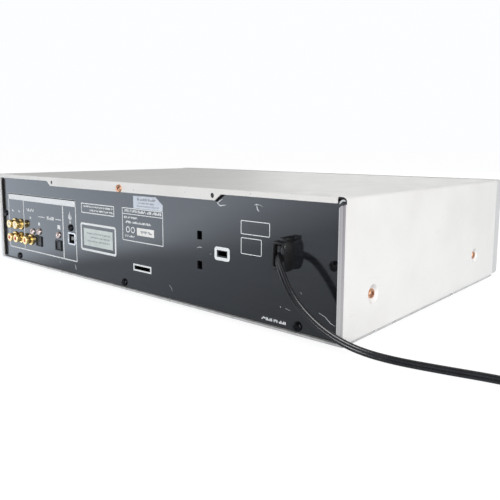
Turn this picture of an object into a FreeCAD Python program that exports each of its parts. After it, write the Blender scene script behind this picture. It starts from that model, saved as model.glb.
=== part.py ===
import FreeCAD, Part
import math
import operator
import os
import Sketcher

# Minidisc deck: a full-width recorder in a folded steel case.
# Frame: +Z up, the front faces -Y, the rear faces +Y, the origin is under the middle at the feet.
# The shelf is at z = 0. All lengths are millimetres.

SIZES = {
    # Case
    "body_width": 430.0,
    "body_depth": 275.0,
    "foot_height": 5.0,
    "cover_gap": 2.0,
    "cover_height": 88.0,
    "cover_sheet": 1.0,
    "cover_bend": 3.0,
    "flange_width": 4.5,
    "flange_height": 83.0,
    "lip_height": 3.8,
    "wide_lip_height": 8.3,
    "wide_lip_half": 109.0,
    "lip_slope": 6.0,
    "notch_width": 6.0,
    "notch_height": 4.2,
    "notch_depth": 1.2,
    "lip_hole_spread": 106.8,
    "lip_hole_height": 83.0,
    "lip_hole_radius": 1.9,
    "lip_screw_height": 82.6,
    "panel_recess": 3.0,
    "panel_sheet": 1.2,
    "panel_side_gap": 1.0,
    "chassis_sheet": 1.6,
    "chassis_side_height": 56.0,
    "chassis_edge_inset": 0.5,
    "wall_clearance": 0.3,
    "running_clearance": 0.06,
    "panel_screw_from_side": 35.1,
    "panel_screw_height": 3.4,
    "middle_screw_x": 0.5,
    "side_tab_width": 8.6,
    "tab_screw_height": 46.2,
    "front_flange_height": 12.0,
    "rear_flange_height": 14.0,
    "side_screw_from_rear": 35.6,
    "side_screw_pitch": 177.8,
    "side_screw_height": 24.6,
    "dimple_radius": 6.5,
    "dimple_depth": 2.0,
    "vent_length": 46.0,
    "vent_width": 3.0,
    "vent_pitch": 8.0,
    "vent_from_side": 40.0,
    "tab_depth": 10.0,
    "tab_height": 16.0,
    # Feet and fasteners
    "foot_radius": 12.0,
    "foot_taper": 1.5,
    "foot_inset": 42.0,
    "screw_head_radius": 3.2,
    "screw_head_height": 1.9,
    "screw_radius": 1.45,
    "screw_length": 6.0,
    # Front panel
    "front_depth": 12.0,
    "front_wall": 3.0,
    "front_rise": 0.5,
    "front_corner": 4.0,
    "front_edge": 1.0,
    "board_gap": 5.4,
    "board_sheet": 1.6,
    "window_left_margin": 110.0,
    "window_right_margin": 150.0,
    "window_height": 34.0,
    "window_sheet": 1.6,
    "window_ledge": 4.0,
    "window_z": 44.0,
    "slot_width": 76.0,
    "slot_height": 8.6,
    "slot_x": -20.0,
    "slot_z": 77.0,
    "flap_sheet": 1.2,
    "flap_pin_radius": 1.0,
    "button_proud": 0.9,
    "button_flange": 1.0,
    "button_travel": 0.6,
    "power_from_side": 29.0,
    "power_z": 56.0,
    "phones_from_side": 23.0,
    "phones_z": 28.0,
    "phones_bore_radius": 3.2,
    "phones_depth": 22.0,
    "phones_level_from_side": 55.0,
    "phones_level_z": 28.0,
    "phones_knob_radius": 7.0,
    "timer_from_side": 55.0,
    "timer_body_width": 16.0,
    "timer_body_height": 7.0,
    "eject_from_slot": 22.0,
    "timer_z": 56.0,
    "timer_travel": 4.0,
    "keys_from_side": 123.0,
    "keys_z": 20.0,
    "key_pitch": 27.0,
    "key_width": 22.0,
    "key_height": 8.0,
    "key_row_gap": 13.0,
    "jog_from_side": 111.0,
    "jog_z": 66.0,
    "jog_radius": 15.0,
    "jog_reach": 8.0,
    "level_from_side": 37.0,
    "level_z": 62.0,
    "level_radius": 14.0,
    "knob_reach": 11.0,
    "knob_gap": 0.5,
    "shaft_radius": 3.0,
    # Loading mechanism
    "mech_half_width": 50.0,
    "mech_front": 18.0,
    "mech_length": 112.0,
    "mech_height": 80.0,
    "mech_sheet": 1.5,
    "deck_height": 48.0,
    "holder_width": 75.0,
    "holder_length": 72.0,
    "holder_wall": 1.0,
    "holder_inside": 5.8,
    "holder_drop": 6.0,
    "holder_pin_radius": 1.5,
    "holder_floor_gap": 32.0,
    "holder_roof_gap": 18.0,
    "holder_gap_end": 6.0,
    "spindle_back": 37.0,
    "motor_radius": 12.0,
    "motor_height": 6.0,
    "hub_radius": 7.0,
    "hub_height": 2.6,
    "spindle_radius": 1.0,
    "rod_radius": 1.5,
    "rod_spread": 24.0,
    "rod_height": 5.0,
    "sled_length": 20.0,
    "sled_travel": 20.0,
    "screw_offset": 32.0,
    "sled_motor_radius": 5.0,
    "sled_motor_length": 13.0,
    "arm_width": 10.0,
    "arm_length": 62.0,
    # Boards and power supply
    "standoff_height": 8.0,
    "standoff_radius": 3.0,
    "main_board_width": 150.0,
    "main_board_depth": 190.0,
    "power_board_width": 115.0,
    "power_board_depth": 95.0,
    "core_width": 57.0,
    "core_height": 48.0,
    "core_stack": 24.0,
    "core_leg": 9.5,
    "core_from_side": 65.0,
    "core_from_front": 75.0,
    "board_margin": 4.0,
    "power_board_from_rear": 8.0,
    "sink_height": 30.0,
    "sink_sheet": 3.0,
    "sink_margin": 9.0,
    "relay_width": 18.0,
    "relay_depth": 16.0,
    "relay_height": 15.0,
    "relay_margin": 12.0,
    "can_margin": 20.0,
    "can_gap": 3.0,
    "capacitor_radius": 8.0,
    "capacitor_height": 26.0,
    # Rear connectors
    "jack_reach": 7.3,
    "jack_radius": 4.15,
    "jack_bore_radius": 3.0,
    "jack_collar_radius": 5.3,
    "jack_from_side": 28.6,
    "jack_pitch_x": 12.6,
    "jack_pitch_z": 14.0,
    "jack_row_z": 23.0,
    "jack_block_depth": 14.0,
    "coaxial_from_side": 60.7,
    "optical_in_from_side": 76.4,
    "optical_out_from_side": 112.6,
    "optical_width": 10.0,
    "optical_opening": 8.2,
    "optical_depth": 11.0,
    "optical_proud": 1.2,
    "optical_body_width": 13.0,
    "optical_body_below": 7.0,
    "optical_body_above_screw": 4.5,
    "optical_pin_room": 0.7,
    "optical_overlap": 2.0,
    "shutter_sheet": 1.0,
    "shutter_pin_radius": 0.6,
    "jack_screw_z": 32.8,
    "usb_from_side": 136.6,
    "usb_z": 32.2,
    "usb_width": 12.0,
    "usb_height": 10.8,
    "usb_depth": 16.0,
    "usb_wall": 0.6,
    "usb_screw_gap": 0.4,
    # Mains lead
    "gland_from_side": 44.5,
    "gland_z": 49.0,
    "gland_width": 9.0,
    "gland_height": 19.5,
    "gland_reach": 10.0,
    "gland_round": 1.6,
    "gland_mouth_room": 2.0,
    "gland_mouth_depth": 1.5,
    "gland_mouth_height": 13.3,
    "cord_diameter": 4.9,
    "coil_pitch": 5.4,
    "coil_turns": 7.25,
    "coil_inner_radius": 17.1,
    "tie_sheet": 0.6,
    "tie_width": 6.0,
    "plug_length": 35.0,
    "plug_width": 26.0,
    "plug_thickness": 13.7,
    "pin_radius": 2.0,
    "pin_length": 19.0,
    "pin_pitch": 18.6,
}

OPERATIONS = {"+": operator.add, "-": operator.sub, "*": operator.mul, "/": operator.truediv}
TURNS = {
    "x": FreeCAD.Rotation(FreeCAD.Vector(0, 1, 0), 90),
    "y": FreeCAD.Rotation(FreeCAD.Vector(1, 0, 0), -90),
    "z": FreeCAD.Rotation(),
    "-y": FreeCAD.Rotation(FreeCAD.Vector(1, 0, 0), 90),
    "-x": FreeCAD.Rotation(FreeCAD.Vector(0, 1, 0), -90),
    "-z": FreeCAD.Rotation(FreeCAD.Vector(1, 0, 0), 180),
}

os.makedirs("parts", exist_ok=True)
doc = FreeCAD.newDocument("minidisc_deck")
sheet = doc.addObject("Spreadsheet::Sheet", "Sizes")
for row, (name, value) in enumerate(SIZES.items(), 1):
    sheet.set("A%d" % row, name)
    sheet.set("B%d" % row, str(value))
    sheet.setAlias("B%d" % row, name)
doc.recompute()


class Length:
    """A size that carries its number and the formula that ties it to the sheet."""

    def __init__(self, formula, number):
        self.formula = formula
        self.number = number

    def __add__(self, other):
        return combined(self, "+", other)

    def __radd__(self, other):
        return combined(other, "+", self)

    def __sub__(self, other):
        return combined(self, "-", other)

    def __rsub__(self, other):
        return combined(other, "-", self)

    def __mul__(self, other):
        return combined(self, "*", other)

    def __rmul__(self, other):
        return combined(other, "*", self)

    def __truediv__(self, other):
        return combined(self, "/", other)

    def __neg__(self):
        return combined(0.0, "-", self)


def number(value):
    return value.number if isinstance(value, Length) else float(value)


def formula(value):
    return value.formula if isinstance(value, Length) else repr(float(value))


def combined(first, sign, second):
    result = OPERATIONS[sign](number(first), number(second))
    return Length("(%s %s %s)" % (formula(first), sign, formula(second)), result)


class Cells:
    """The sheet's cells by name, each as a Length."""

    def __getattr__(self, name):
        return Length("Sizes." + name, SIZES[name])


s = Cells()
subparts = []


def place(thing, x, y, z, turn="z"):
    thing.Placement = FreeCAD.Placement(FreeCAD.Vector(), TURNS[turn])
    for axis, value in zip("xyz", (x, y, z)):
        thing.setExpression("Placement.Base." + axis, formula(value))
    return thing


def block(label, xs, ys, zs):
    """A box given by its two ends along each axis."""
    thing = doc.addObject("Part::Box", label)
    for side, (low, high) in zip(("Length", "Width", "Height"), (xs, ys, zs)):
        thing.setExpression(side, formula(high - low))
    return place(thing, xs[0], ys[0], zs[0])


def centred(label, x, width, ys, z, height):
    """A box centred on x and z, from one y to another."""
    return block(label, (x - width / 2, x + width / 2), ys, (z - height / 2, z + height / 2))


def rod(label, turn, start, radius, length):
    thing = doc.addObject("Part::Cylinder", label)
    thing.setExpression("Radius", formula(radius))
    thing.setExpression("Height", formula(length))
    return place(thing, *start, turn)


def cone(label, turn, start, radius, end_radius, length):
    thing = doc.addObject("Part::Cone", label)
    thing.setExpression("Radius1", formula(radius))
    thing.setExpression("Radius2", formula(end_radius))
    thing.setExpression("Height", formula(length))
    return place(thing, *start, turn)


def fuse(label, parts):
    thing = doc.addObject("Part::MultiFuse", label)
    thing.Shapes = list(parts)
    return thing


def cut(label, base, tools):
    tools = list(tools)
    thing = doc.addObject("Part::Cut", label)
    thing.Base = base
    thing.Tool = tools[0] if len(tools) == 1 else fuse(label + "_space", tools)
    return thing


def group(label, parts):
    thing = doc.addObject("Part::Compound", label)
    thing.Links = list(parts)
    return thing


def rounded(label, base, radius, chosen):
    """Round the edges that the test chooses."""
    doc.recompute()
    thing = doc.addObject("Part::Fillet", label)
    thing.Base = base
    picked = [index for index, edge in enumerate(base.Shape.Edges, 1) if chosen(edge.BoundBox)]
    thing.Edges = [(index, number(radius), number(radius)) for index in picked]
    return thing


def outline(body, plane, corners):
    """A closed outline in the body's own plane, each corner held by its two distances."""
    sketch = body.newObject("Sketcher::SketchObject", body.Label + "_outline")
    support = [item for item in body.Origin.OriginFeatures if item.Role == plane]
    sketch.AttachmentSupport = [(support[0], "")]
    sketch.MapMode = "FlatFace"
    points = [FreeCAD.Vector(number(u), number(v), 0) for u, v in corners]
    count = len(points)
    for index in range(count):
        sketch.addGeometry(Part.LineSegment(points[index], points[(index + 1) % count]))
    for index in range(count):
        sketch.addConstraint(Sketcher.Constraint("Coincident", index, 2, (index + 1) % count, 1))
    for index, (u, v) in enumerate(corners):
        for kind, value in (("DistanceX", u), ("DistanceY", v)):
            held = sketch.addConstraint(Sketcher.Constraint(kind, -1, 1, index, 1, number(value)))
            sketch.setExpression("Constraints[%d]" % held, formula(value))
    return sketch


def extruded(label, corners, start_y, length):
    """A body whose front view is the outline, running back from start_y."""
    body = doc.addObject("PartDesign::Body", label)
    sketch = outline(body, "XZ_Plane", corners)
    pad = body.newObject("PartDesign::Pad", label + "_pad")
    pad.Profile = sketch
    pad.Reversed = True
    pad.setExpression("Length", formula(length))
    body.Tip = pad
    return place(body, 0.0, start_y, 0.0)


def turned(label, corners, start, turn="z"):
    """A body of revolution: the outline is (radius, height) along its axis."""
    body = doc.addObject("PartDesign::Body", label)
    sketch = outline(body, "XZ_Plane", corners)
    revolution = body.newObject("PartDesign::Revolution", label + "_turn")
    revolution.Profile = sketch
    revolution.ReferenceAxis = (sketch, ["V_Axis"])
    revolution.Angle = 360.0
    body.Tip = revolution
    return place(body, *start, turn)


def soften(body, radius, chosen):
    """Add a fillet to the end of a body's own history."""
    doc.recompute()
    tip = body.Tip
    names = ["Edge%d" % i for i, edge in enumerate(tip.Shape.Edges, 1) if chosen(edge.BoundBox)]
    fillet = body.newObject("PartDesign::Fillet", body.Label + "_round")
    fillet.Base = (tip, names)
    fillet.setExpression("Radius", formula(radius))
    body.Tip = fillet
    return body


def keep(thing):
    """Hand this object in as a sub-part under its own label."""
    subparts.append(thing)
    return thing


# Planes that the sub-parts share
half_width = s.body_width / 2
front_y = (s.knob_reach - s.gland_reach + s.panel_recess) / 2 - s.body_depth / 2
rear_y = front_y + s.body_depth
front_back = front_y + s.front_depth
front_inner = front_y + s.front_wall
board_y = front_inner + s.board_gap
board_back = board_y + s.board_sheet
base_z = s.foot_height
floor_z = base_z + s.chassis_sheet
cover_low = base_z + s.cover_gap
cover_top = cover_low + s.cover_height
panel_y = rear_y - s.panel_recess
panel_back = panel_y - s.panel_sheet
side_inner = half_width - s.cover_sheet
chassis_side = side_inner - s.dimple_depth - s.wall_clearance

# Places measured from the sides
window_width = s.body_width - s.window_left_margin - s.window_right_margin
window_x = (s.window_left_margin - s.window_right_margin) / 2
power_x = s.power_from_side - half_width
phones_x = s.phones_from_side - half_width
phones_level_x = s.phones_level_from_side - half_width
timer_x = s.timer_from_side - half_width
keys_x = half_width - s.keys_from_side
jog_x = half_width - s.jog_from_side
level_x = half_width - s.level_from_side
jack_column = half_width - s.jack_from_side
coaxial_x = half_width - s.coaxial_from_side
optical_in_x = half_width - s.optical_in_from_side
optical_out_x = half_width - s.optical_out_from_side
usb_x = half_width - s.usb_from_side
gland_x = s.gland_from_side - half_width


def screw(label, turn, x, y, z, length=s.screw_length):
    """A pan head with its shank: the seat is at the given point and the head stands along the turn."""
    back = {"y": (x, y - length, z), "-y": (x, y + length, z), "x": (x - length, y, z),
            "-x": (x + length, y, z), "-z": (x, y, z + length)}[turn]
    shank = rod(label + "_shank", turn, back, s.screw_radius, length + s.screw_head_height / 2)
    head = cone(label + "_head", turn, (x, y, z), s.screw_head_radius, s.screw_head_radius * 0.8,
                s.screw_head_height)
    return fuse(label, [shank, head])


def hole(label, turn, start, length, radius=s.screw_radius + s.running_clearance):
    return rod(label, turn, start, radius, length)


# Places of the fasteners
side_screw_y = [rear_y - s.side_screw_from_rear, rear_y - s.side_screw_from_rear - s.side_screw_pitch]
side_screw_z = cover_low + s.side_screw_height
panel_low_x = half_width - s.panel_screw_from_side
panel_high_x = half_width - s.side_tab_width
panel_screws = [(panel_low_x, s.panel_screw_height), (s.middle_screw_x, s.panel_screw_height),
                (-panel_low_x, s.panel_screw_height), (panel_high_x, s.tab_screw_height),
                (-panel_high_x, s.tab_screw_height)]
panel_screw_places = [(x, cover_low + z) for x, z in panel_screws]
lip_screw_z = cover_low + s.lip_screw_height
foot_xs = (s.foot_inset - half_width, half_width - s.foot_inset)
foot_ys = (front_y + s.foot_inset, rear_y - s.foot_inset)


def dimple(label, sign, y):
    """The round countersink pressed into the cover's side for a screw."""
    turn = "x" if sign < 0 else "-x"
    outer = half_width * sign
    bottom = s.screw_head_radius + 0.6
    sheet = s.cover_sheet
    inner = outer - sign * sheet
    boss = cone(label + "_boss", turn, (inner + sign * sheet / 2, y, side_screw_z),
                s.dimple_radius + sheet, bottom + sheet, s.dimple_depth + sheet / 2)
    space = cone(label + "_space", turn, (outer, y, side_screw_z), s.dimple_radius, bottom, s.dimple_depth)
    bore = hole(label + "_bore", turn, (outer, y, side_screw_z), s.dimple_depth * 4)
    return boss, space, bore


def top_cover():
    sheet = s.cover_sheet
    depth = s.body_depth - s.front_depth - s.wall_clearance
    start = front_back + s.wall_clearance
    side = half_width - sheet
    corners = [(-half_width, cover_low), (-half_width, cover_top), (half_width, cover_top),
               (half_width, cover_low), (side, cover_low), (side, cover_top - sheet),
               (-side, cover_top - sheet), (-side, cover_low)]
    shell = extruded("cover_shell", corners, start, depth)
    top = number(cover_top)
    soften(shell, s.cover_bend, lambda box: box.YLength > 50 and box.ZMin > top - 0.1 and box.XLength < 0.1)
    inner = number(cover_top - sheet)
    soften(shell, s.cover_bend - sheet,
           lambda box: box.YLength > 50 and abs(box.ZMin - inner) < 0.1 and box.XLength < 0.1)
    low = cover_top - s.lip_height
    wide = cover_top - s.wide_lip_height
    hook = cover_top - sheet / 2
    end = half_width - s.notch_width
    run = s.wide_lip_half + s.lip_slope
    lip = extruded("cover_lip", [(-end, hook), (end, hook), (end, low), (run, low), (s.wide_lip_half, wide),
                                 (-s.wide_lip_half, wide), (-run, low), (-end, low)], rear_y - sheet, sheet)
    pieces = [shell, lip]
    spaces = []
    for sign, side_name in ((-1, "right"), (1, "left")):
        flange_top = cover_low + s.flange_height
        tip = half_width - s.flange_width
        corners = [(sign * tip, cover_low), (sign * (half_width - sheet / 2), cover_low),
                   (sign * (half_width - sheet / 2), flange_top), (sign * (tip + 1.5), flange_top),
                   (sign * tip, flange_top - 1.5)]
        pieces.append(extruded("flange_" + side_name, corners, rear_y - sheet, sheet))
        notch_x = (sign * end, sign * (half_width + 1.0))
        spaces.append(block("notch_" + side_name, notch_x[::sign], (rear_y - s.notch_depth, rear_y + 1.0),
                            (cover_top - s.notch_height, cover_top + 1.0)))
        for index, y in enumerate(side_screw_y):
            boss, space, bore = dimple("dimple_%s_%d" % (side_name, index), sign, y)
            pieces.append(boss)
            spaces += [space, bore]
        spaces.append(rod("lip_hole_" + side_name, "y",
                          (sign * s.lip_hole_spread, rear_y - 2 * sheet, cover_low + s.lip_hole_height),
                          s.lip_hole_radius, 3 * sheet))
    spaces.append(hole("lip_screw_hole", "y", (s.middle_screw_x, rear_y - 2 * sheet, lip_screw_z),
                       3 * sheet))
    return keep(cut("top_cover", fuse("cover_folded", pieces), spaces))


def bottom_chassis():
    sheet = s.chassis_sheet
    edge = half_width - s.chassis_edge_inset
    start = front_back + s.wall_clearance
    plate = block("base_plate", (-edge, edge), (start, rear_y - s.cover_sheet), (base_z, floor_z))
    high = base_z + s.chassis_side_height
    rear = (panel_back - sheet, panel_back)
    pieces = [plate]
    spaces = []
    for sign, side_name in ((-1, "right"), (1, "left")):
        outer = sign * chassis_side
        inner = sign * (chassis_side - sheet)
        xs = (outer, inner) if sign < 0 else (inner, outer)
        pieces.append(block("side_" + side_name, xs, (start, panel_back), (base_z, high)))
        tab_x = (outer, outer + s.tab_depth) if sign < 0 else (outer - s.tab_depth, outer)
        pieces.append(block("tab_" + side_name, tab_x, rear, (high - s.tab_height, high)))
        turn = "x" if sign > 0 else "-x"
        for index, y in enumerate(side_screw_y):
            spaces.append(hole("side_hole_%s_%d" % (side_name, index), turn,
                               (sign * (chassis_side - 2 * sheet), y, side_screw_z), 4 * sheet))
    across = (-chassis_side, chassis_side)
    pieces.append(block("rear_flange", across, rear, (base_z, base_z + s.rear_flange_height)))
    front = (start, start + sheet)
    pieces.append(block("front_flange", across, front, (base_z, base_z + s.front_flange_height)))
    for index, (x, y) in enumerate(standoffs()):
        pieces.append(rod("standoff_%d" % index, "z", (x, y, floor_z - sheet / 2), s.standoff_radius,
                          s.standoff_height + sheet / 2))
    for index, (x, z) in enumerate(panel_screw_places):
        spaces.append(hole("panel_hole_%d" % index, "y", (x, panel_back - 3 * sheet, z), 5 * sheet))
    for index, (x, y) in enumerate((x, y) for x in foot_xs for y in foot_ys):
        spaces.append(hole("foot_hole_%d" % index, "z", (x, y, base_z - sheet), 4 * sheet))
    for index in range(8):
        x = s.vent_pitch * index - half_width + s.vent_from_side
        spaces.append(block("vent_%d" % index, (x, x + s.vent_width), (-s.vent_length, 0.0),
                            (base_z - sheet, floor_z + sheet)))
    return keep(cut("bottom_chassis", fuse("chassis_folded", pieces), spaces))


def standoffs():
    """Centres of the pillars under the two large boards."""
    main = main_board_range()
    power = power_board_range()
    inset = s.standoff_radius + 1.5
    places = []
    for (low_x, high_x), (low_y, high_y) in (main, power):
        places += [(x, y) for x in (low_x + inset, high_x - inset) for y in (low_y + inset, high_y - inset)]
    return places


def main_board_range():
    high_x = chassis_side - s.chassis_sheet - s.board_margin
    high_y = panel_back - s.jack_block_depth - s.board_margin
    return (high_x - s.main_board_width, high_x), (high_y - s.main_board_depth, high_y)


def power_board_range():
    low_x = -chassis_side + s.chassis_sheet + s.board_margin
    high_y = panel_back - s.power_board_from_rear
    return (low_x, low_x + s.power_board_width), (high_y - s.power_board_depth, high_y)


def rear_panel():
    edge = side_inner - s.panel_side_gap
    high = cover_top - s.cover_sheet - s.wall_clearance
    plate = block("panel_plate", (-edge, edge), (panel_back, panel_y), (cover_low, high))
    pad_z = (cover_top - s.wide_lip_height - 1.0, high)
    pad = block("panel_pad", (-s.wide_lip_half, s.wide_lip_half), (panel_y, rear_y - s.cover_sheet), pad_z)
    through = (panel_back - 1.0, panel_y + 1.0)
    spaces = [hole("panel_screw_hole_%d" % index, "y", (x, panel_back - 1.0, z), 4.0)
              for index, (x, z) in enumerate(panel_screw_places)]
    spaces.append(hole("lip_screw_seat", "y", (s.middle_screw_x, panel_back - 1.0, lip_screw_z), 6.0))
    spaces.append(hole("usb_screw_hole", "y", (usb_screw_x, through[0], usb_screw_z), s.panel_sheet + 2.0))
    for index, (x, z) in enumerate(jack_places()):
        spaces.append(rod("jack_hole_%d" % index, "y", (x, through[0], z),
                          s.jack_collar_radius + s.wall_clearance, s.panel_sheet + 2.0))
    for index, (x, z) in enumerate(jack_screw_places()):
        spaces.append(hole("jack_screw_hole_%d" % index, "y", (x, through[0], z), s.panel_sheet + 2.0))
    for index, x in enumerate((optical_in_x, optical_out_x)):
        spaces.append(centred("optical_hole_%d" % index, x, s.optical_width + 2 * s.wall_clearance, through,
                              optical_z, s.optical_width + 2 * s.wall_clearance))
    spaces.append(centred("usb_hole", usb_x, s.usb_width + 2 * s.wall_clearance, through, usb_z,
                          s.usb_height + 2 * s.wall_clearance))
    fit = 2 * s.running_clearance
    spaces.append(centred("gland_hole", gland_x, gland_neck_width + fit, through, gland_z,
                          gland_neck_height + fit))
    for name, low_x, high_x, low_z, high_z in (("slot_low", -33.6, -14.0, 17.0, 20.0),
                                               ("slot_upper", -93.5, -88.4, 49.8, 56.2),
                                               ("slot_lower", -93.5, -88.4, 27.9, 34.0),
                                               ("slot_square", -118.2, -109.5, 40.4, 43.8)):
        spaces.append(block(name, (low_x, high_x), through,
                            (cover_low + low_z, cover_low + high_z)))
    return keep(cut("rear_panel", fuse("panel_formed", [plate, pad]), spaces))


# Rear connector places
jack_z = cover_low + s.jack_row_z
optical_z = cover_low + s.jack_row_z
usb_z = cover_low + s.usb_z
usb_screw_x = usb_x + 3.2
usb_screw_z = usb_z + s.usb_height / 2 + s.screw_head_radius + s.usb_screw_gap
gland_z = cover_low + s.gland_z
jack_tip = panel_y + s.jack_reach
gland_neck_width = s.gland_width - 2.0
gland_neck_height = s.gland_height - 4.0


def rca_places():
    xs = (jack_column, jack_column - s.jack_pitch_x)
    zs = (jack_z, jack_z + s.jack_pitch_z)
    return [(x, z) for x in xs for z in zs]


def jack_places():
    return rca_places() + [(coaxial_x, jack_z)]


def jack_screw_places():
    z = cover_low + s.jack_screw_z
    return [(coaxial_x - 2.5, z), (optical_in_x, z), (optical_out_x, z)]


def jack_core(label, x, z):
    """The insulator inside a jack's shell, with the hole for the centre pin."""
    length = jack_tip - 1.0 - panel_back
    return cut(label, rod(label + "_solid", "y", (x, panel_back, z), s.jack_bore_radius, length),
               [rod(label + "_hole", "y", (x, panel_back + 3.0, z), 1.6, length)])


def jack_block(label, places, xs, zs):
    body = block(label + "_box", xs, (panel_back - s.jack_block_depth, panel_back), zs)
    rings = [rod("%s_ring_%d" % (label, i), "y", (x, panel_back - 1.0, z), s.jack_collar_radius,
                 s.panel_sheet + 1.0) for i, (x, z) in enumerate(places)]
    cores = [jack_core("%s_core_%d" % (label, i), x, z) for i, (x, z) in enumerate(places)]
    return fuse(label + "_moulding", [body] + rings + cores)


def screw_holes(label, places):
    return [hole("%s_fixing_%d" % (label, i), "y", (x, panel_back - s.screw_length - 0.5, z),
                 s.screw_length + 1.0) for i, (x, z) in enumerate(places)]


def rear_connectors():
    low = jack_z - 8.0
    rca = rca_places()
    side = s.jack_pitch_x / 2 + 7.5
    middle = jack_column - s.jack_pitch_x / 2
    moulding = jack_block("rca", rca, (middle - side, middle + side), (low, jack_z + s.jack_pitch_z + 8.0))
    moulding.Label = "rca_jack_block"
    keep(moulding)
    fixings = jack_screw_places()
    coaxial = jack_block("coaxial", [(coaxial_x, jack_z)], (coaxial_x - 7.0, coaxial_x + 7.0),
                         (low, cover_low + s.jack_screw_z + 4.5))
    keep(cut("coaxial_jack", coaxial, screw_holes("coaxial", fixings[:1])))
    shells = []
    for i, (x, z) in enumerate(jack_places()):
        barrel = rod("barrel_%d" % i, "y", (x, panel_y, z), s.jack_radius, jack_tip - panel_y)
        collar = rod("collar_%d" % i, "y", (x, panel_y, z), s.jack_collar_radius, 1.4)
        space = rod("barrel_space_%d" % i, "y", (x, panel_y - 1.0, z),
                    s.jack_bore_radius + s.running_clearance, jack_tip - panel_y + 2.0)
        shells.append(cut("shell_%d" % i, fuse("shell_solid_%d" % i, [barrel, collar]), [space]))
    keep(group("jack_shells", shells))
    keep(group("jack_screws", [screw("jack_screw_%d" % i, "y", x, panel_y, z)
                               for i, (x, z) in enumerate(fixings)]))
    optical_sockets(fixings[1:])
    usb_port()


def optical_sockets(fixings):
    outer = s.optical_width
    inner = s.optical_opening
    back = panel_back - s.optical_depth - s.optical_overlap
    face = panel_y + s.optical_proud
    bodies = []
    for i, (x, z) in enumerate(fixings):
        nose = centred("optical_nose_%d" % i, x, outer, (panel_back - s.optical_overlap, face), optical_z,
                       outer)
        wide = s.optical_body_width / 2
        body = block("optical_body_%d" % i, (x - wide, x + wide), (back, panel_back),
                     (optical_z - s.optical_body_below, z + s.optical_body_above_screw))
        space = centred("optical_space_%d" % i, x, inner, (face - s.optical_depth, face + 1.0), optical_z,
                        inner)
        pin = rod("optical_pin_space_%d" % i, "x",
                  (x - inner / 2 - s.optical_pin_room, shutter_pin_y, shutter_pin_z),
                  s.shutter_pin_radius + s.running_clearance, inner + 2 * s.optical_pin_room)
        bodies.append(cut("optical_socket_%d" % i, fuse("optical_solid_%d" % i, [nose, body]),
                          [space, pin] + screw_holes("optical_%d" % i, [(x, z)])))
        name = ("optical_shutter_in", "optical_shutter_out")[i]
        pin_length = inner + 1.0
        axle = rod(name + "_axle", "x", (x - pin_length / 2, shutter_pin_y, shutter_pin_z),
                   s.shutter_pin_radius, pin_length)
        width = inner - 2 * s.wall_clearance
        plate = block(name + "_plate", (x - width / 2, x + width / 2),
                      (shutter_pin_y - s.shutter_sheet / 2, shutter_pin_y + s.shutter_sheet / 2),
                      (optical_z - inner / 2 + s.wall_clearance, shutter_pin_z))
        keep(fuse(name, [axle, plate]))
    keep(group("optical_sockets", bodies))


shutter_pin_y = panel_y - 0.2
shutter_pin_z = optical_z + s.optical_opening / 2 - s.shutter_pin_radius - s.wall_clearance


def usb_port():
    wide = s.usb_width / 2
    tall = s.usb_height / 2
    chamfer = 2.4

    def ring(label, inset, start, length):
        w = wide - inset
        t = tall - inset
        slope = chamfer - inset * 0.4
        corners = [(usb_x - w, usb_z - t), (usb_x + w, usb_z - t), (usb_x + w, usb_z + t - slope),
                   (usb_x + w - slope, usb_z + t), (usb_x - w + slope, usb_z + t),
                   (usb_x - w, usb_z + t - slope)]
        return extruded(label, corners, start, length)

    face = panel_y + 0.5
    shell = ring("usb_shell", 0.0, face - s.usb_depth, s.usb_depth)
    space = ring("usb_space", s.usb_wall, face - s.usb_depth + 3.0, s.usb_depth)
    tongue = centred("usb_tongue", usb_x, 5.6, (face - s.usb_depth + 2.0, face - 1.2), usb_z, 3.2)
    ears = block("usb_ears", (usb_x - 9.0, usb_x + 9.0), (panel_back - 1.0, panel_back),
                 (usb_z - tall, usb_z + tall + 6.0))
    ears_space = centred("usb_flange_space", usb_x, s.usb_width - 0.4, (panel_back - 2.0, panel_back + 1.0),
                         usb_z, s.usb_height - 0.4)
    fixing = hole("usb_fixing", "y", (usb_screw_x, panel_back - 3.0, usb_screw_z), 6.0)
    ears_open = cut("usb_flange", ears, [ears_space, fixing])
    keep(fuse("usb_port", [cut("usb_shell_open", shell, [space]), tongue, ears_open]))


# Front panel places
front_low = base_z + s.front_rise
front_top = cover_top + s.front_rise
switch_front = front_inner + 2 * s.wall_clearance + s.button_flange + s.button_travel
control_front = front_inner + s.wall_clearance
flap_pin_y = front_inner + s.wall_clearance + s.flap_pin_radius
flap_pin_z = s.slot_z + s.slot_height / 2 + 2.2
lower_keys_z = s.keys_z
upper_keys_z = s.keys_z + s.key_row_gap
eject_x = s.slot_x + s.slot_width / 2 + s.eject_from_slot

BUTTONS = {
    "power_button": (power_x, s.power_z, s.key_width, s.key_height + 3.0),
    "eject_button": (eject_x, s.slot_z, s.key_width - 4.0, s.key_height),
    "play_button": (keys_x, upper_keys_z, s.key_width, s.key_height),
    "pause_button": (keys_x + s.key_pitch, upper_keys_z, s.key_width, s.key_height),
    "stop_button": (keys_x + 2 * s.key_pitch, upper_keys_z, s.key_width, s.key_height),
    "back_button": (keys_x, lower_keys_z, s.key_width, s.key_height),
    "forward_button": (keys_x + s.key_pitch, lower_keys_z, s.key_width, s.key_height),
    "menu_button": (keys_x + 2 * s.key_pitch, lower_keys_z, s.key_width, s.key_height),
    "record_button": (level_x, lower_keys_z + s.key_row_gap / 2, s.key_width - 6.0, s.key_height + 4.0),
}
KNOBS = {
    "record_level_knob": (level_x, s.level_z, s.level_radius),
    "phones_level_knob": (phones_level_x, s.phones_level_z, s.phones_knob_radius),
}
shaft_places = [(x, z) for x, z, radius in KNOBS.values()] + [(jog_x, s.jog_z)]


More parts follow.
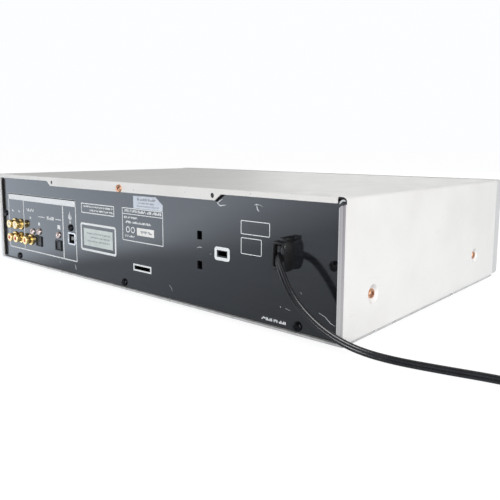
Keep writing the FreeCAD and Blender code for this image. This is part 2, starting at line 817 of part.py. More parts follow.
def front_panel():
    corners = [(-half_width, front_low), (half_width, front_low), (half_width, front_top),
               (-half_width, front_top)]
    bar = extruded("front_block", corners, front_y, s.front_depth)
    low, high = number(front_low) + 0.1, number(front_top) - 0.1
    soften(bar, s.front_corner, lambda box: box.YLength > 5 and (box.ZMin > high or box.ZMax < low))
    soften(bar, s.front_edge, lambda box: box.YMax < 0.01)
    wall = s.front_wall
    through = (front_y - 1.0, front_inner + 1.0)
    gap = 2 * s.wall_clearance
    spaces = [block("front_hollow", (wall - half_width, half_width - wall), (front_inner, front_back + 1.0),
                    (front_low + wall, front_top - wall)),
              centred("window_seat", window_x, window_width + gap, (front_y - 1.0, front_y + s.window_sheet),
                      s.window_z, s.window_height + gap),
              centred("window_light", window_x, window_width - 2 * s.window_ledge, through, s.window_z,
                      s.window_height - 2 * s.window_ledge),
              centred("disc_slot", s.slot_x, s.slot_width, through, s.slot_z, s.slot_height),
              rod("phones_hole", "y", (phones_x, through[0], s.phones_z), phones_barrel + s.wall_clearance,
                  wall + 2.0),
              centred("timer_slot", timer_x, timer_cap + 2 * s.timer_travel + gap, through, s.timer_z,
                      timer_cap + gap)]
    spaces += [centred(name + "_hole", x, width + gap, through, z, height + gap)
               for name, (x, z, width, height) in BUTTONS.items()]
    spaces += [rod("shaft_hole_%d" % index, "y", (x, through[0], z), s.shaft_radius + 0.6, wall + 2.0)
               for index, (x, z) in enumerate(shaft_places)]
    face_piece = cut("front_face", bar, spaces)
    ears = []
    for sign, side_name in ((-1, "left"), (1, "right")):
        near = s.slot_x + sign * (s.slot_width / 2 + 1.5)
        far = near + sign * 2.4
        xs = (near, far) if sign > 0 else (far, near)
        ear = block("ear_" + side_name, xs, (front_inner - 0.5, flap_pin_y + 2.0),
                    (flap_pin_z - 2.0, flap_pin_z + 2.0))
        bore = rod("ear_bore_" + side_name, "x", (xs[0] - 1.0, flap_pin_y, flap_pin_z),
                   s.flap_pin_radius + s.running_clearance, 4.4)
        ears.append(cut("ear_open_" + side_name, ear, [bore]))
    posts = [rod("post_%d" % index, "y", (x, front_inner - 0.5, z), 2.5, s.board_gap + 0.5)
             for index, (x, z) in enumerate(board_posts())]
    return keep(fuse("front_panel", [face_piece] + ears + posts))


phones_barrel = s.phones_bore_radius + 2.6
timer_cap = s.key_height / 2
board_low = front_low + s.front_wall + 3.0
board_mid = s.slot_z - s.slot_height - 5.0
board_top = front_top - s.front_wall - 3.0
board_edge = half_width - s.front_wall - 5.0
board_step_x = s.slot_x + s.slot_width / 2 + 8.0


def board_posts():
    inset = 5.0
    return [(inset - board_edge, board_mid - inset), (board_edge - inset, board_low + inset),
            (board_edge - inset, board_top - inset), (window_x - window_width / 2 - 9.0, board_low + inset),
            (board_step_x - 1.0, board_low + inset), (eject_x + s.key_width, board_top - inset)]


def front_board():
    """The long board behind the front panel, with its switches and level controls."""
    low = block("front_board_low", (-board_edge, board_edge), (board_y, board_back), (board_low, board_mid))
    high = block("front_board_high", (board_step_x, board_edge), (board_y, board_back),
                 (board_low, board_top))
    space = block("front_board_notch", (-board_edge - 1.0, phones_x + phones_body / 2 + 1.0),
                  (board_y - 1.0, board_back + 1.0), (board_low - 1.0, s.phones_z + phones_body / 2 + 1.0))
    bare = cut("front_board_bare", fuse("front_board_sheet", [low, high]), [space])
    pieces = [bare]
    for name, (x, z, width, height) in BUTTONS.items():
        pieces.append(centred(name + "_switch", x, 6.0, (switch_front, board_y + 0.5), z, 6.0))
    for index, (x, z) in enumerate(shaft_places):
        pot = centred("control_%d" % index, x, 13.0, (control_front, board_y + 0.5), z, 13.0)
        bore = rod("control_bore_%d" % index, "y", (x, control_front - 1.0, z),
                   s.shaft_radius + s.running_clearance, 5.2)
        pieces.append(cut("control_open_%d" % index, pot, [bore]))
    pieces.append(centred("timer_body", timer_x, s.timer_body_width, (switch_front, board_y + 0.5),
                          s.timer_z, s.timer_body_height))
    return keep(fuse("front_board", pieces))


def push_button(name, x, z, width, height):
    back = front_inner + s.wall_clearance
    cap = centred(name + "_cap", x, width, (front_y - s.button_proud, back + 0.5), z, height)
    face = number(front_y - s.button_proud)
    soft = rounded(name + "_soft", cap, 0.6, lambda box: box.YMax < face + 0.01 or box.YLength > 2.0)
    collar = centred(name + "_collar", x, width + 3.0, (back, back + s.button_flange), z, height + 3.0)
    return keep(fuse(name, [soft, collar]))


def knob(name, x, z, radius):
    reach = s.knob_reach - s.knob_gap
    edge = 1.2
    slim = radius - 0.5
    corners = [(0.0, 0.0), (radius, 0.0), (slim, reach - edge), (slim - edge, reach), (0.0, reach)]
    body = turned(name + "_body", corners, (x, front_y - s.knob_gap, z), "-y")
    shaft = rod(name + "_shaft", "y", (x, front_y - s.knob_gap - 1.0, z), s.shaft_radius,
                s.knob_gap + 1.0 + s.front_wall + 3.4)
    tip = front_y - s.knob_reach
    mark = block(name + "_mark", (x - 0.5, x + 0.5), (tip - 1.0, tip + 0.5),
                 (z + radius * 0.45, z + radius))
    return keep(cut(name, fuse(name + "_turned", [body, shaft]), [mark]))


def jog():
    gap = s.button_travel + s.wall_clearance
    base = front_y - gap
    shaft_end = front_y - gap - 4.0
    keep(rod("jog_shaft", "y", (jog_x, shaft_end, s.jog_z), s.shaft_radius, gap + 4.0 + s.front_wall + 3.0))
    bore = s.shaft_radius + s.running_clearance
    depth = 4.0 + s.running_clearance
    reach = s.jog_reach - gap
    radius = s.jog_radius
    corners = [(bore, 0.0), (radius, 0.0), (radius, reach - 1.5), (radius - 1.5, reach), (0.0, reach),
               (0.0, depth), (bore, depth)]
    dial = turned("jog_body", corners, (jog_x, base, s.jog_z), "-y")
    ball = doc.addObject("Part::Sphere", "finger_dish")
    ball.Radius = 6.0
    place(ball, jog_x, base - reach - 4.6, s.jog_z + radius * 0.55)
    return keep(cut("jog_dial", dial, [ball]))


def timer_switch():
    back = front_inner + s.wall_clearance
    cap = centred("timer_cap", timer_x, timer_cap, (front_y - 2.0, back + 0.5), s.timer_z, timer_cap)
    plate = centred("timer_plate", timer_x, timer_cap + 2 * s.timer_travel + 4.0,
                    (back, back + s.button_flange), s.timer_z, timer_cap + 3.0)
    return keep(fuse("timer_switch", [cap, plate]))


phones_body = 15.0


def headphone_socket():
    ring = rod("phones_ring", "y", (phones_x, front_y - 1.2, s.phones_z), phones_barrel + 1.4, 1.2)
    barrel = rod("phones_barrel", "y", (phones_x, front_y - 1.0, s.phones_z), phones_barrel,
                 s.front_wall + 2.0)
    body = centred("phones_body", phones_x, phones_body, (front_inner, front_inner + s.phones_depth),
                   s.phones_z, phones_body)
    bore = rod("phones_bore", "y", (phones_x, front_y - 2.0, s.phones_z), s.phones_bore_radius,
               s.front_wall + s.phones_depth)
    return keep(cut("headphone_socket", fuse("phones_solid", [ring, barrel, body]), [bore]))


def front_controls():
    for name, (x, z, width, height) in BUTTONS.items():
        push_button(name, x, z, width, height)
    for name, (x, z, radius) in KNOBS.items():
        knob(name, x, z, radius)
    jog()
    timer_switch()
    headphone_socket()
    keep(centred("display_window", window_x, window_width, (front_y, front_y + s.window_sheet), s.window_z,
                 s.window_height))
    keep(centred("display_module", window_x, window_width - 2 * s.window_ledge - 4.0,
                 (front_y + s.window_sheet + s.wall_clearance, board_y), s.window_z,
                 s.window_height - 2 * s.window_ledge - 2.0))
    disc_flap()


def disc_flap():
    length = s.slot_width + 7.0
    axle = rod("flap_axle", "x", (s.slot_x - length / 2, flap_pin_y, flap_pin_z), s.flap_pin_radius, length)
    half = s.flap_sheet / 2
    plate = block("flap_plate", (s.slot_x - s.slot_width / 2 - 1.0, s.slot_x + s.slot_width / 2 + 1.0),
                  (flap_pin_y - half, flap_pin_y + half), (s.slot_z - s.slot_height / 2 - 1.0, flap_pin_z))
    return keep(fuse("disc_flap", [axle, plate]))


# Loading mechanism places
mech_y = front_y + s.mech_front
mech_back = mech_y + s.mech_length
wall_x = s.mech_half_width
deck_top = floor_z + s.deck_height + s.mech_sheet
holder_y = mech_y + 1.0
holder_height = s.holder_inside + 2 * s.holder_wall
pin_ys = (holder_y + 15.0, holder_y + s.holder_length - 15.0)
spindle_y = holder_y + s.spindle_back
rod_z = deck_top + s.rod_height
bracket_half = s.screw_offset + 6.0
bracket_sheet = 3.0
sled_y = spindle_y + s.motor_radius + 2.0
rear_bracket_y = sled_y + s.sled_length + s.sled_travel + 2.0
front_bracket_y = spindle_y - s.motor_radius - 8.0
arm_y = holder_y + s.holder_length + 6.0
arm_z = s.slot_z + holder_height / 2 + 4.0
arm_pin_radius = 1.2


def rod_lines(label, radius, start, length, offsets):
    return [rod("%s_%d" % (label, index), "y", (s.slot_x + offset, start, rod_z), radius, length)
            for index, offset in enumerate(offsets)]


def mechanism_frame():
    sheet = s.mech_sheet
    pieces = []
    spaces = []
    slot = s.holder_pin_radius + 0.1
    for sign, side_name in ((-1, "left"), (1, "right")):
        outer = s.slot_x + sign * wall_x
        inner = s.slot_x + sign * (wall_x - sheet)
        xs = (outer, inner) if sign < 0 else (inner, outer)
        pieces.append(block("mech_wall_" + side_name, xs, (mech_y, mech_back),
                            (floor_z, floor_z + s.mech_height)))
        for index, y in enumerate(pin_ys):
            spaces.append(block("lift_slot_%s_%d" % (side_name, index), (xs[0] - 1.0, xs[1] + 1.0),
                                (y - slot, y + slot), (s.slot_z - s.holder_drop - slot, s.slot_z + slot)))
        spaces.append(rod("arm_bore_" + side_name, "x", (xs[0] - 1.0, arm_y, arm_z),
                          arm_pin_radius + s.running_clearance, sheet + 2.0))
    across = (s.slot_x - wall_x, s.slot_x + wall_x)
    pieces.append(block("mech_deck", across, (mech_y, mech_back), (deck_top - sheet, deck_top)))
    for name, y in (("front", front_bracket_y), ("rear", rear_bracket_y)):
        pieces.append(block("bracket_" + name, (s.slot_x - bracket_half, s.slot_x + bracket_half),
                            (y, y + bracket_sheet), (deck_top - sheet / 2, rod_z + 4.0)))
    length = rear_bracket_y + bracket_sheet - front_bracket_y + 2.0
    spaces += rod_lines("rod_bore", s.rod_radius + s.running_clearance, front_bracket_y - 1.0, length,
                        (-s.rod_spread, s.rod_spread, s.screw_offset))
    return keep(cut("mechanism_frame", fuse("mech_folded", pieces), spaces))


def disc_holder():
    x0 = s.slot_x - s.holder_width / 2
    x1 = s.slot_x + s.holder_width / 2
    ys = (holder_y, holder_y + s.holder_length)
    wall = s.holder_wall
    low = s.slot_z - holder_height / 2
    box = block("holder_box", (x0, x1), ys, (low, low + holder_height))
    floor_gap = s.holder_floor_gap / 2
    roof_gap = s.holder_roof_gap / 2
    gap_end = ys[1] - s.holder_gap_end
    spaces = [block("holder_hollow", (x0 + wall, x1 - wall), (ys[0] - 1.0, ys[1] - wall),
                    (low + wall, low + wall + s.holder_inside)),
              block("holder_floor_gap", (s.slot_x - floor_gap, s.slot_x + floor_gap), (ys[0] + 8.0, gap_end),
                    (low - 1.0, low + wall + 1.0)),
              block("holder_roof_gap", (s.slot_x - roof_gap, s.slot_x + roof_gap), (ys[0] + 20.0, gap_end),
                    (low + holder_height - wall - 1.0, low + holder_height + 1.0))]
    pins = []
    reach = wall_x - s.wall_clearance - s.holder_width / 2 + wall / 2
    for index, y in enumerate(pin_ys):
        for name, turn, x in (("pin_right_%d", "x", x1 - wall / 2), ("pin_left_%d", "-x", x0 + wall / 2)):
            pins.append(rod(name % index, turn, (x, y, s.slot_z), s.holder_pin_radius, reach))
    return keep(fuse("disc_holder", [cut("holder_folded", box, spaces)] + pins))


def mechanism_parts():
    mechanism_frame()
    disc_holder()
    motor = rod("motor_can", "z", (s.slot_x, spindle_y, deck_top), s.motor_radius, s.motor_height)
    bore = rod("motor_bore", "z", (s.slot_x, spindle_y, deck_top + 1.0),
               s.spindle_radius + s.running_clearance, s.motor_height)
    keep(cut("spindle_motor", motor, [bore]))
    hub_z = deck_top + s.motor_height + s.wall_clearance
    disc = rod("hub_disc", "z", (s.slot_x, spindle_y, hub_z), s.hub_radius, s.hub_height - 0.8)
    nose = cone("hub_nose", "z", (s.slot_x, spindle_y, hub_z + s.hub_height - 0.8), 3.0, 2.2, 0.8)
    shaft = rod("hub_shaft", "z", (s.slot_x, spindle_y, deck_top + 1.5), s.spindle_radius, s.motor_height)
    keep(fuse("spindle_hub", [disc, nose, shaft]))
    length = rear_bracket_y + bracket_sheet - front_bracket_y
    keep(group("guide_rods", rod_lines("guide_rod", s.rod_radius, front_bracket_y, length,
                                       (-s.rod_spread, s.rod_spread))))
    screw_line = rod_lines("lead_thread", s.rod_radius, front_bracket_y, length - s.wall_clearance,
                           (s.screw_offset,))[0]
    screw_line.Label = "lead_screw"
    keep(screw_line)
    keep(rod("sled_motor", "y", (s.slot_x + s.screw_offset, rear_bracket_y + bracket_sheet, rod_z),
             s.sled_motor_radius, s.sled_motor_length))
    sled()
    head_arm()


def sled():
    low = rod_z - s.rod_height + 1.5
    body = block("sled_block", (s.slot_x - s.rod_spread - 4.0, s.slot_x + s.screw_offset + 4.0),
                 (sled_y, sled_y + s.sled_length), (low, rod_z + 3.5))
    lens = rod("sled_lens", "z", (s.slot_x, sled_y + 5.0, rod_z + 3.0), 3.0, 2.1)
    bores = rod_lines("sled_bore", s.rod_radius + s.running_clearance, sled_y - 1.0, s.sled_length + 2.0,
                      (-s.rod_spread, s.rod_spread))
    bores += rod_lines("nut_bore", s.rod_radius + s.wall_clearance, sled_y - 1.0, s.sled_length + 2.0,
                       (s.screw_offset,))
    return keep(cut("optical_pickup", fuse("sled_solid", [body, lens]), bores))


def head_arm():
    reach = wall_x - s.wall_clearance
    axle = rod("arm_axle", "x", (s.slot_x - reach, arm_y, arm_z), arm_pin_radius, 2 * reach)
    plate = block("arm_plate", (s.slot_x - s.arm_width / 2, s.slot_x + s.arm_width / 2),
                  (spindle_y - 4.0, arm_y), (arm_z - 0.6, arm_z + 0.6))
    shoe = block("arm_shoe", (s.slot_x - 3.0, s.slot_x + 3.0), (spindle_y - 4.0, spindle_y + 4.0),
                 (arm_z - 3.0, arm_z))
    return keep(fuse("magnetic_head_arm", [axle, plate, shoe]))


# Chips on the main board: place and size as shares of the board, height in board thicknesses
CHIPS = [(0.20, 0.32, 0.13, 0.11, 1.5), (0.48, 0.37, 0.10, 0.08, 1.25), (0.27, 0.58, 0.07, 0.13, 1.9),
         (0.66, 0.21, 0.19, 0.06, 1.6), (0.73, 0.68, 0.08, 0.06, 5.6), (0.13, 0.79, 0.16, 0.04, 3.75),
         (0.47, 0.79, 0.05, 0.16, 6.9)]


def boards():
    board_z = floor_z + s.standoff_height
    top = board_z + s.board_sheet
    main_x, main_y = main_board_range()
    pieces = [block("main_sheet", main_x, main_y, (board_z, top))]
    for index, (from_left, from_front, wide, deep, tall) in enumerate(CHIPS):
        x = main_x[0] + s.main_board_width * from_left
        y = main_y[0] + s.main_board_depth * from_front
        pieces.append(block("chip_%d" % index, (x, x + s.main_board_width * wide),
                            (y, y + s.main_board_depth * deep), (top - 0.5, top + s.board_sheet * tall)))
    keep(fuse("main_board", pieces))
    power_x, power_y = power_board_range()
    sheet = block("power_sheet", power_x, power_y, (board_z, top))
    sink_x = power_x[1] - s.sink_margin
    sink = block("power_sink", (sink_x - s.sink_sheet, sink_x),
                 (power_y[0] + s.sink_margin, power_y[1] - s.sink_margin), (top - 0.5, top + s.sink_height))
    relay_x = power_x[0] + s.relay_margin
    relay_y = power_y[1] - s.relay_margin
    relay = block("power_relay", (relay_x, relay_x + s.relay_width), (relay_y - s.relay_depth, relay_y),
                  (top - 0.5, top + s.relay_height))
    keep(fuse("power_board", [sheet, sink, relay]))
    cans = []
    for index in range(4):
        x = power_x[0] + s.can_margin + index * (2 * s.capacitor_radius + s.can_gap)
        cans.append(rod("can_%d" % index, "z", (x, power_y[0] + s.can_margin, top), s.capacitor_radius,
                        s.capacitor_height))
    keep(group("capacitors", cans))


def transformer():
    x = s.core_from_side - half_width
    y = front_y + s.core_from_front
    core_low = floor_z
    leg = s.core_leg
    window = (s.core_width - 4 * leg) / 2
    core = block("core_block", (x - s.core_width / 2, x + s.core_width / 2),
                 (y - s.core_stack / 2, y + s.core_stack / 2), (core_low, core_low + s.core_height))
    gaps = []
    for sign, side_name in ((-1, "left"), (1, "right")):
        near = x + sign * leg
        far = x + sign * (leg + window)
        xs = (near, far) if sign > 0 else (far, near)
        gaps.append(block("core_gap_" + side_name, xs, (y - s.core_stack, y + s.core_stack),
                          (core_low + leg, core_low + s.core_height - leg)))
    keep(cut("transformer_core", core, gaps))
    gap = s.wall_clearance
    wide = leg + window - gap
    deep = s.core_stack / 2 + window - gap
    wound = block("coil_block", (x - wide, x + wide), (y - deep, y + deep),
                  (core_low + leg + gap, core_low + s.core_height - leg - gap))
    space = block("coil_space", (x - leg - gap, x + leg + gap),
                  (y - s.core_stack / 2 - gap, y + s.core_stack / 2 + gap), (core_low, core_low + s.core_height))
    keep(cut("transformer_coil", wound, [space]))


def feet():
    names = ("foot_front_right", "foot_rear_right", "foot_front_left", "foot_rear_left")
    places = [(x, y) for x in foot_xs for y in foot_ys]
    seat = 2.2
    bore = s.screw_radius + s.running_clearance
    recess = s.screw_head_radius + 1.2
    corners = [(bore, seat), (recess, seat), (recess, 0.0), (s.foot_radius - s.foot_taper, 0.0),
               (s.foot_radius, s.foot_height), (bore, s.foot_height)]
    for name, (x, y) in zip(names, places):
        body = turned(name, corners, (x, y, 0.0))
        keep(body)
    keep(group("foot_screws", [screw("foot_screw_%d" % i, "-z", x, y, seat)
                               for i, (x, y) in enumerate(places)]))


def case_screws():
    seat = half_width - s.dimple_depth
    screws = [screw("side_screw_%s_%d" % (turn, index), turn, sign * seat, y, side_screw_z)
              for sign, turn in ((-1, "-x"), (1, "x")) for index, y in enumerate(side_screw_y)]
    screws.append(screw("lip_screw", "y", s.middle_screw_x, rear_y, lip_screw_z))
    keep(group("cover_screws", screws))
    black = [screw("panel_screw_%d" % index, "y", x, panel_y, z)
             for index, (x, z) in enumerate(panel_screw_places)]
    black.append(screw("usb_screw", "y", usb_screw_x, panel_y, usb_screw_z, 4.0))
    keep(group("rear_panel_screws", black))


# Mains lead: the route of the free stretch, from the gland to the coil. Each x counts from the right
# side of the body, so the lead stays with the gland when the body gets wider.
LEAD_ROUTE = [(44.4, 145.0, 56.6), (41.0, 150.0, 54.4), (35.0, 154.8, 50.2), (27.4, 157.4, 40.0),
              (19.0, 156.2, 29.6), (9.6, 151.8, 19.8), (-0.4, 145.6, 11.8), (-12.0, 137.8, 5.6),
              (-29.0, 131.0, 2.6), (-55.0, 125.5, 2.6), (-89.0, 119.0, 3.4), (-121.0, 119.0, 3.4)]
TAIL_ROUTE = [(-161.9, 76.75, 8.8), (-162.4, 67.0, 8.6), (-164.4, 56.5, 7.2), (-164.4, 47.0, 7.2)]


def from_side(route):
    return [(x - half_width.number, y, z) for x, y, z in route]


def arc_between(start, corner, end):
    """The arc that leaves start towards the corner and reaches end along the line from it."""
    middle = (start + end) * 0.5
    half_turn = (corner - start).getAngle(end - corner) / 2
    reach = (corner - start).Length
    radius = reach / math.tan(half_turn)
    inward = middle - corner
    inward.normalize()
    crown = corner + inward * (radius / math.cos(half_turn) - radius)
    return Part.Arc(start, crown, end).toShape(), radius


def rounded_path(label, points):
    """Straight runs joined by tangent arcs, each as large as its two runs allow."""
    points = [FreeCAD.Vector(*point) for point in points]
    edges = []
    radii = []
    start = points[0]
    for before, corner, after in zip(points, points[1:], points[2:]):
        reach = 0.45 * min((corner - before).Length, (after - corner).Length)
        toward = (before - corner).normalize()
        onward = (after - corner).normalize()
        first = corner + toward * reach
        last = corner + onward * reach
        edges.append(Part.LineSegment(start, first).toShape())
        arc, radius = arc_between(first, corner, last)
        edges.append(arc)
        radii.append(round(radius, 1))
        start = last
    edges.append(Part.LineSegment(start, points[-1]).toShape())
    print(label, "bend radii", radii)
    return Part.Wire(edges)


def tube(label, path, diameter):
    first = path.Edges[0]
    start = first.valueAt(first.FirstParameter)
    along = first.tangentAt(first.FirstParameter)
    section = Part.Wire(Part.Circle(start, along, diameter / 2).toShape())
    shell = Part.BRepOffsetAPI.MakePipeShell(path)
    shell.add(section, False, False)
    shell.build()
    shell.makeSolid()
    thing = doc.addObject("Part::Feature", label)
    thing.Shape = shell.shape()
    thing.Placement = FreeCAD.Placement()
    expected = math.pi * diameter ** 2 / 4 * path.Length
    print(label, "length %.1f volume ratio %.4f" % (path.Length, thing.Shape.Volume / expected))
    return keep(thing)


def coil_path(centre, inner, pitch, turns, low, rise):
    """A flat coil that winds inwards, climbs one layer in half a turn and winds outwards again."""
    reversal = (turns + 0.25) / 2

    def point(turn):
        radius = inner + pitch * abs(turn - reversal)
        angle = math.radians(90 + 360 * turn)
        share = min(max((turn - reversal) * 2 + 0.5, 0.0), 1.0)
        height = low + rise * share * share * (3 - 2 * share)
        x = centre[0] + radius * math.cos(angle)
        y = centre[1] + radius * math.sin(angle)
        return FreeCAD.Vector(x, y, height)

    def heading(turn):
        if turn in (0.0, turns):
            angle = math.radians(90 + 360 * turn)
            return FreeCAD.Vector(-math.sin(angle), math.cos(angle), 0)
        step = 0.001
        return (point(turn + step) - point(turn - step)).normalize()

    count = int(round(turns * 4))
    stops = [index / 4 for index in range(count + 1)]
    edges = []
    for first, last in zip(stops, stops[1:]):
        a, b = point(first), point(last)
        ta, tb = heading(first), heading(last)
        span = b - a
        both = ta + tb
        square = 2 * (1 - ta.dot(tb))
        reach = (math.sqrt(span.dot(both) ** 2 + square * span.dot(span)) - span.dot(both)) / square
        near = a + ta * reach
        far = b - tb * reach
        middle = (near + far) * 0.5
        edges.append(arc_between(a, near, middle)[0])
        edges.append(arc_between(middle, far, b)[0])
    return edges, point(0.0), heading(0.0), point(turns), heading(turns)


def least_gap(path, diameter):
    """Smallest distance between two turns of the path, less the diameter."""
    points = path.discretize(Distance=2.0)
    step = path.Length / (len(points) - 1)
    skip = int(4 * diameter / step)
    count = len(points)
    least = min((points[i] - points[j]).Length for i in range(count) for j in range(i + skip, count))
    return least - diameter


def mains_lead():
    diameter = s.cord_diameter.number
    gland()
    tube("cord_lead", rounded_path("cord_lead", from_side(LEAD_ROUTE)), diameter)
    inner = s.coil_inner_radius.number
    pitch = s.coil_pitch.number
    turns = s.coil_turns.number
    outer = inner + pitch * (turns + 0.25) / 2
    enter = FreeCAD.Vector(*from_side(LEAD_ROUTE)[-1])
    centre = (enter.x - diameter, enter.y - outer)
    edges, start, start_heading, end, end_heading = coil_path(centre, inner, pitch, turns, enter.z, pitch)
    lead_in = Part.LineSegment(start - start_heading * diameter, start).toShape()
    lead_out = Part.LineSegment(end, end + end_heading * diameter).toShape()
    path = Part.Wire([lead_in] + edges + [lead_out])
    tube("cord_coil", path, diameter)
    print("cord_coil least gap %.2f, ends at" % least_gap(path, diameter), end + end_heading * diameter)
    cord_tail = rounded_path("cord_tail", from_side(TAIL_ROUTE))
    tube("cord_tail", cord_tail, diameter)
    cord_tie(centre, inner, outer, enter.z, diameter + pitch)
    plug()


def cord_tie(centre, inner, outer, middle, tall):
    gap = s.wall_clearance.number
    radius = s.cord_diameter / 2
    far = centre[1] - inner + radius + gap
    near = centre[1] - outer - radius - gap
    low = middle - radius - gap
    high = low + tall + 2 * gap
    sheet = s.tie_sheet
    xs = (centre[0] - s.tie_width / 2, centre[0] + s.tie_width / 2)
    band = block("tie_band", xs, (near - sheet, far + sheet), (low - sheet, high + sheet))
    space = block("tie_space", (xs[0] - 1.0, xs[1] + 1.0), (near, far), (low, high))
    return keep(cut("cord_tie", band, [space]))


def gland():
    face = panel_y + s.gland_reach
    head = centred("gland_head", gland_x, s.gland_width, (panel_y, face), gland_z, s.gland_height)
    front = number(face)
    soft = rounded("gland_soft", head, s.gland_round,
                   lambda box: box.YMin > front - 0.01 or (box.YLength > 5.0))
    neck = centred("gland_neck", gland_x, gland_neck_width, (panel_back - 3.0, panel_y + 0.5), gland_z,
                   gland_neck_height)
    catch = centred("gland_catch", gland_x, s.gland_width, (panel_back - 4.0, panel_back - 0.1), gland_z,
                    s.gland_height - 2.0)
    mouth = centred("gland_mouth", gland_x, s.cord_diameter + s.gland_mouth_room,
                    (face - s.gland_mouth_depth, face + 1.0), gland_z, s.gland_mouth_height)
    return keep(cut("cord_gland", fuse("gland_solid", [soft, neck, catch]), [mouth]))


def plug():
    x, y, z = from_side(TAIL_ROUTE)[-1]
    z = s.plug_thickness / 2 + 0.35
    wide = s.plug_width / 2
    thick = s.plug_thickness
    body = doc.addObject("PartDesign::Body", "plug_shell")
    corners = [(-4.5, 0.0), (-wide, -s.plug_length * 0.55), (-wide, -s.plug_length), (wide, -s.plug_length),
               (wide, -s.plug_length * 0.55), (4.5, 0.0)]
    sketch = outline(body, "XY_Plane", corners)
    pad = body.newObject("PartDesign::Pad", "plug_pad")
    pad.Profile = sketch
    pad.setExpression("Length", formula(thick))
    body.Tip = pad
    place(body, x, y, z - thick / 2)
    soften(body, 2.2, lambda box: True)
    body.Label = "plug_body"
    keep(body)
    pins = [rod("plug_pin_%d" % sign, "-y", (x + sign * s.pin_pitch / 2, y - s.plug_length, z), s.pin_radius,
                s.pin_length) for sign in (-1, 1)]
    keep(group("plug_pins", pins))


top_cover()
bottom_chassis()
rear_panel()
rear_connectors()
front_panel()
front_board()
front_controls()
mechanism_parts()
boards()
transformer()
feet()
case_screws()
mains_lead()

doc.recompute()
faults = [thing.Name for thing in doc.Objects if "Invalid" in thing.State or "Error" in thing.State]
faults += [thing.Label for thing in subparts if thing.Shape.isNull() or not thing.Shape.isValid()]
if faults:
    raise SystemExit("These objects failed: " + ", ".join(faults))
for thing in subparts:
    thing.Shape.exportStep("parts/%s.step" % thing.Label)
print(len(subparts), "sub-parts written")
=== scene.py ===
# %% [markdown]
# # A minidisc deck, dressed for its portrait
# The deck is a folded steel case with a glossy black rear panel full of sockets, and a mains lead that
# runs to a coil beside it. The case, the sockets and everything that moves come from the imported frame.
# This script gives them their finishes, prints the panel, makes the lead and lights the scene.

# %% Load the frame
import math
import random

import bmesh
import bpy
from mathutils import Matrix, Vector


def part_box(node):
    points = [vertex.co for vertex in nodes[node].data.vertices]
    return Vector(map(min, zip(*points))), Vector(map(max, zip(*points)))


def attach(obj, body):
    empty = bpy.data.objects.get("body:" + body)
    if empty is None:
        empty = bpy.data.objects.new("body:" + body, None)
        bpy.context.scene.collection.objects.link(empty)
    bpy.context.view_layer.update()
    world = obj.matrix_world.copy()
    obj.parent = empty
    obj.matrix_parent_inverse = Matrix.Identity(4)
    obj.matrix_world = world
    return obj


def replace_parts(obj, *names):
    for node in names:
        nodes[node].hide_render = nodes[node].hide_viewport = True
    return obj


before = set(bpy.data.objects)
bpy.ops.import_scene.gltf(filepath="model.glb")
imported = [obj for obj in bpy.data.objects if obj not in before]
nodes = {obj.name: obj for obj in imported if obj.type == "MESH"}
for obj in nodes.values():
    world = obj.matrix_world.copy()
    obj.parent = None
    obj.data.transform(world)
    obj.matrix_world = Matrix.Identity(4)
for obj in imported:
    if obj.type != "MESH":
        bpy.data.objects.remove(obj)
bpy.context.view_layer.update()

MM = 0.001


def mm(*values):
    """A point given in millimetres, as a vector in metres."""
    return Vector(value * MM for value in values)


# %% [markdown]
# The camera stands behind the deck's right-hand corner, a little above its top. Its place, its turn and
# its focal length were worked out from the corners of the case in the picture, so the render can be laid
# over the photograph. The small shift moves the picture down, because the photograph was cropped.

# %% Camera
CAMERA_PLACE = mm(-386.2, 420.1, 122.4)
CAMERA_YAW = math.radians(-48.98)
CAMERA_PITCH = math.radians(-7.25)
CAMERA_ROLL = math.radians(0.27)
CAMERA_LENS = 40.84
CAMERA_SHIFT = -0.058


def view_axes(yaw, pitch, roll):
    """The right, up and forward directions of a camera with that turn."""
    forward = Vector((math.cos(pitch) * math.cos(yaw), math.cos(pitch) * math.sin(yaw), math.sin(pitch)))
    level = Vector((forward.y, -forward.x, 0.0)).normalized()
    upright = level.cross(forward)
    right = level * math.cos(roll) + upright * math.sin(roll)
    up = upright * math.cos(roll) - level * math.sin(roll)
    return right, up, forward


right, up, forward = view_axes(CAMERA_YAW, CAMERA_PITCH, CAMERA_ROLL)
camera_data = bpy.data.cameras.new("camera")
camera_data.lens = CAMERA_LENS
camera_data.sensor_width = 36.0
camera_data.shift_y = CAMERA_SHIFT
camera_data.clip_start = 0.01
camera = bpy.data.objects.new("camera", camera_data)
bpy.context.scene.collection.objects.link(camera)
camera.matrix_world = Matrix.Translation(CAMERA_PLACE) @ Matrix((right, up, -forward)).transposed().to_4x4()
bpy.context.scene.camera = camera
print("camera looks along", tuple(round(value, 3) for value in forward))

# %% [markdown]
# A finish is a small tree of nodes. Writing each one out in full would hide what matters, so this helper
# adds nodes by short names: noise for grain, a ramp that turns grey values into colours, and a bump. Most
# finishes vary a colour and a gloss slowly and have a fine bump, so these have a short call each.
# Everything reads Object coordinates, because they are real metres on the deck and stay with the piece.


# %% A helper for finishes
def shade(red, green, blue):
    """A colour given as a screen shows it, from 0 to 255, as the linear values that a shader wants."""
    return tuple(((value / 255 + 0.055) / 1.055) ** 2.4 if value > 10 else value / 3294.6
                 for value in (red, green, blue))


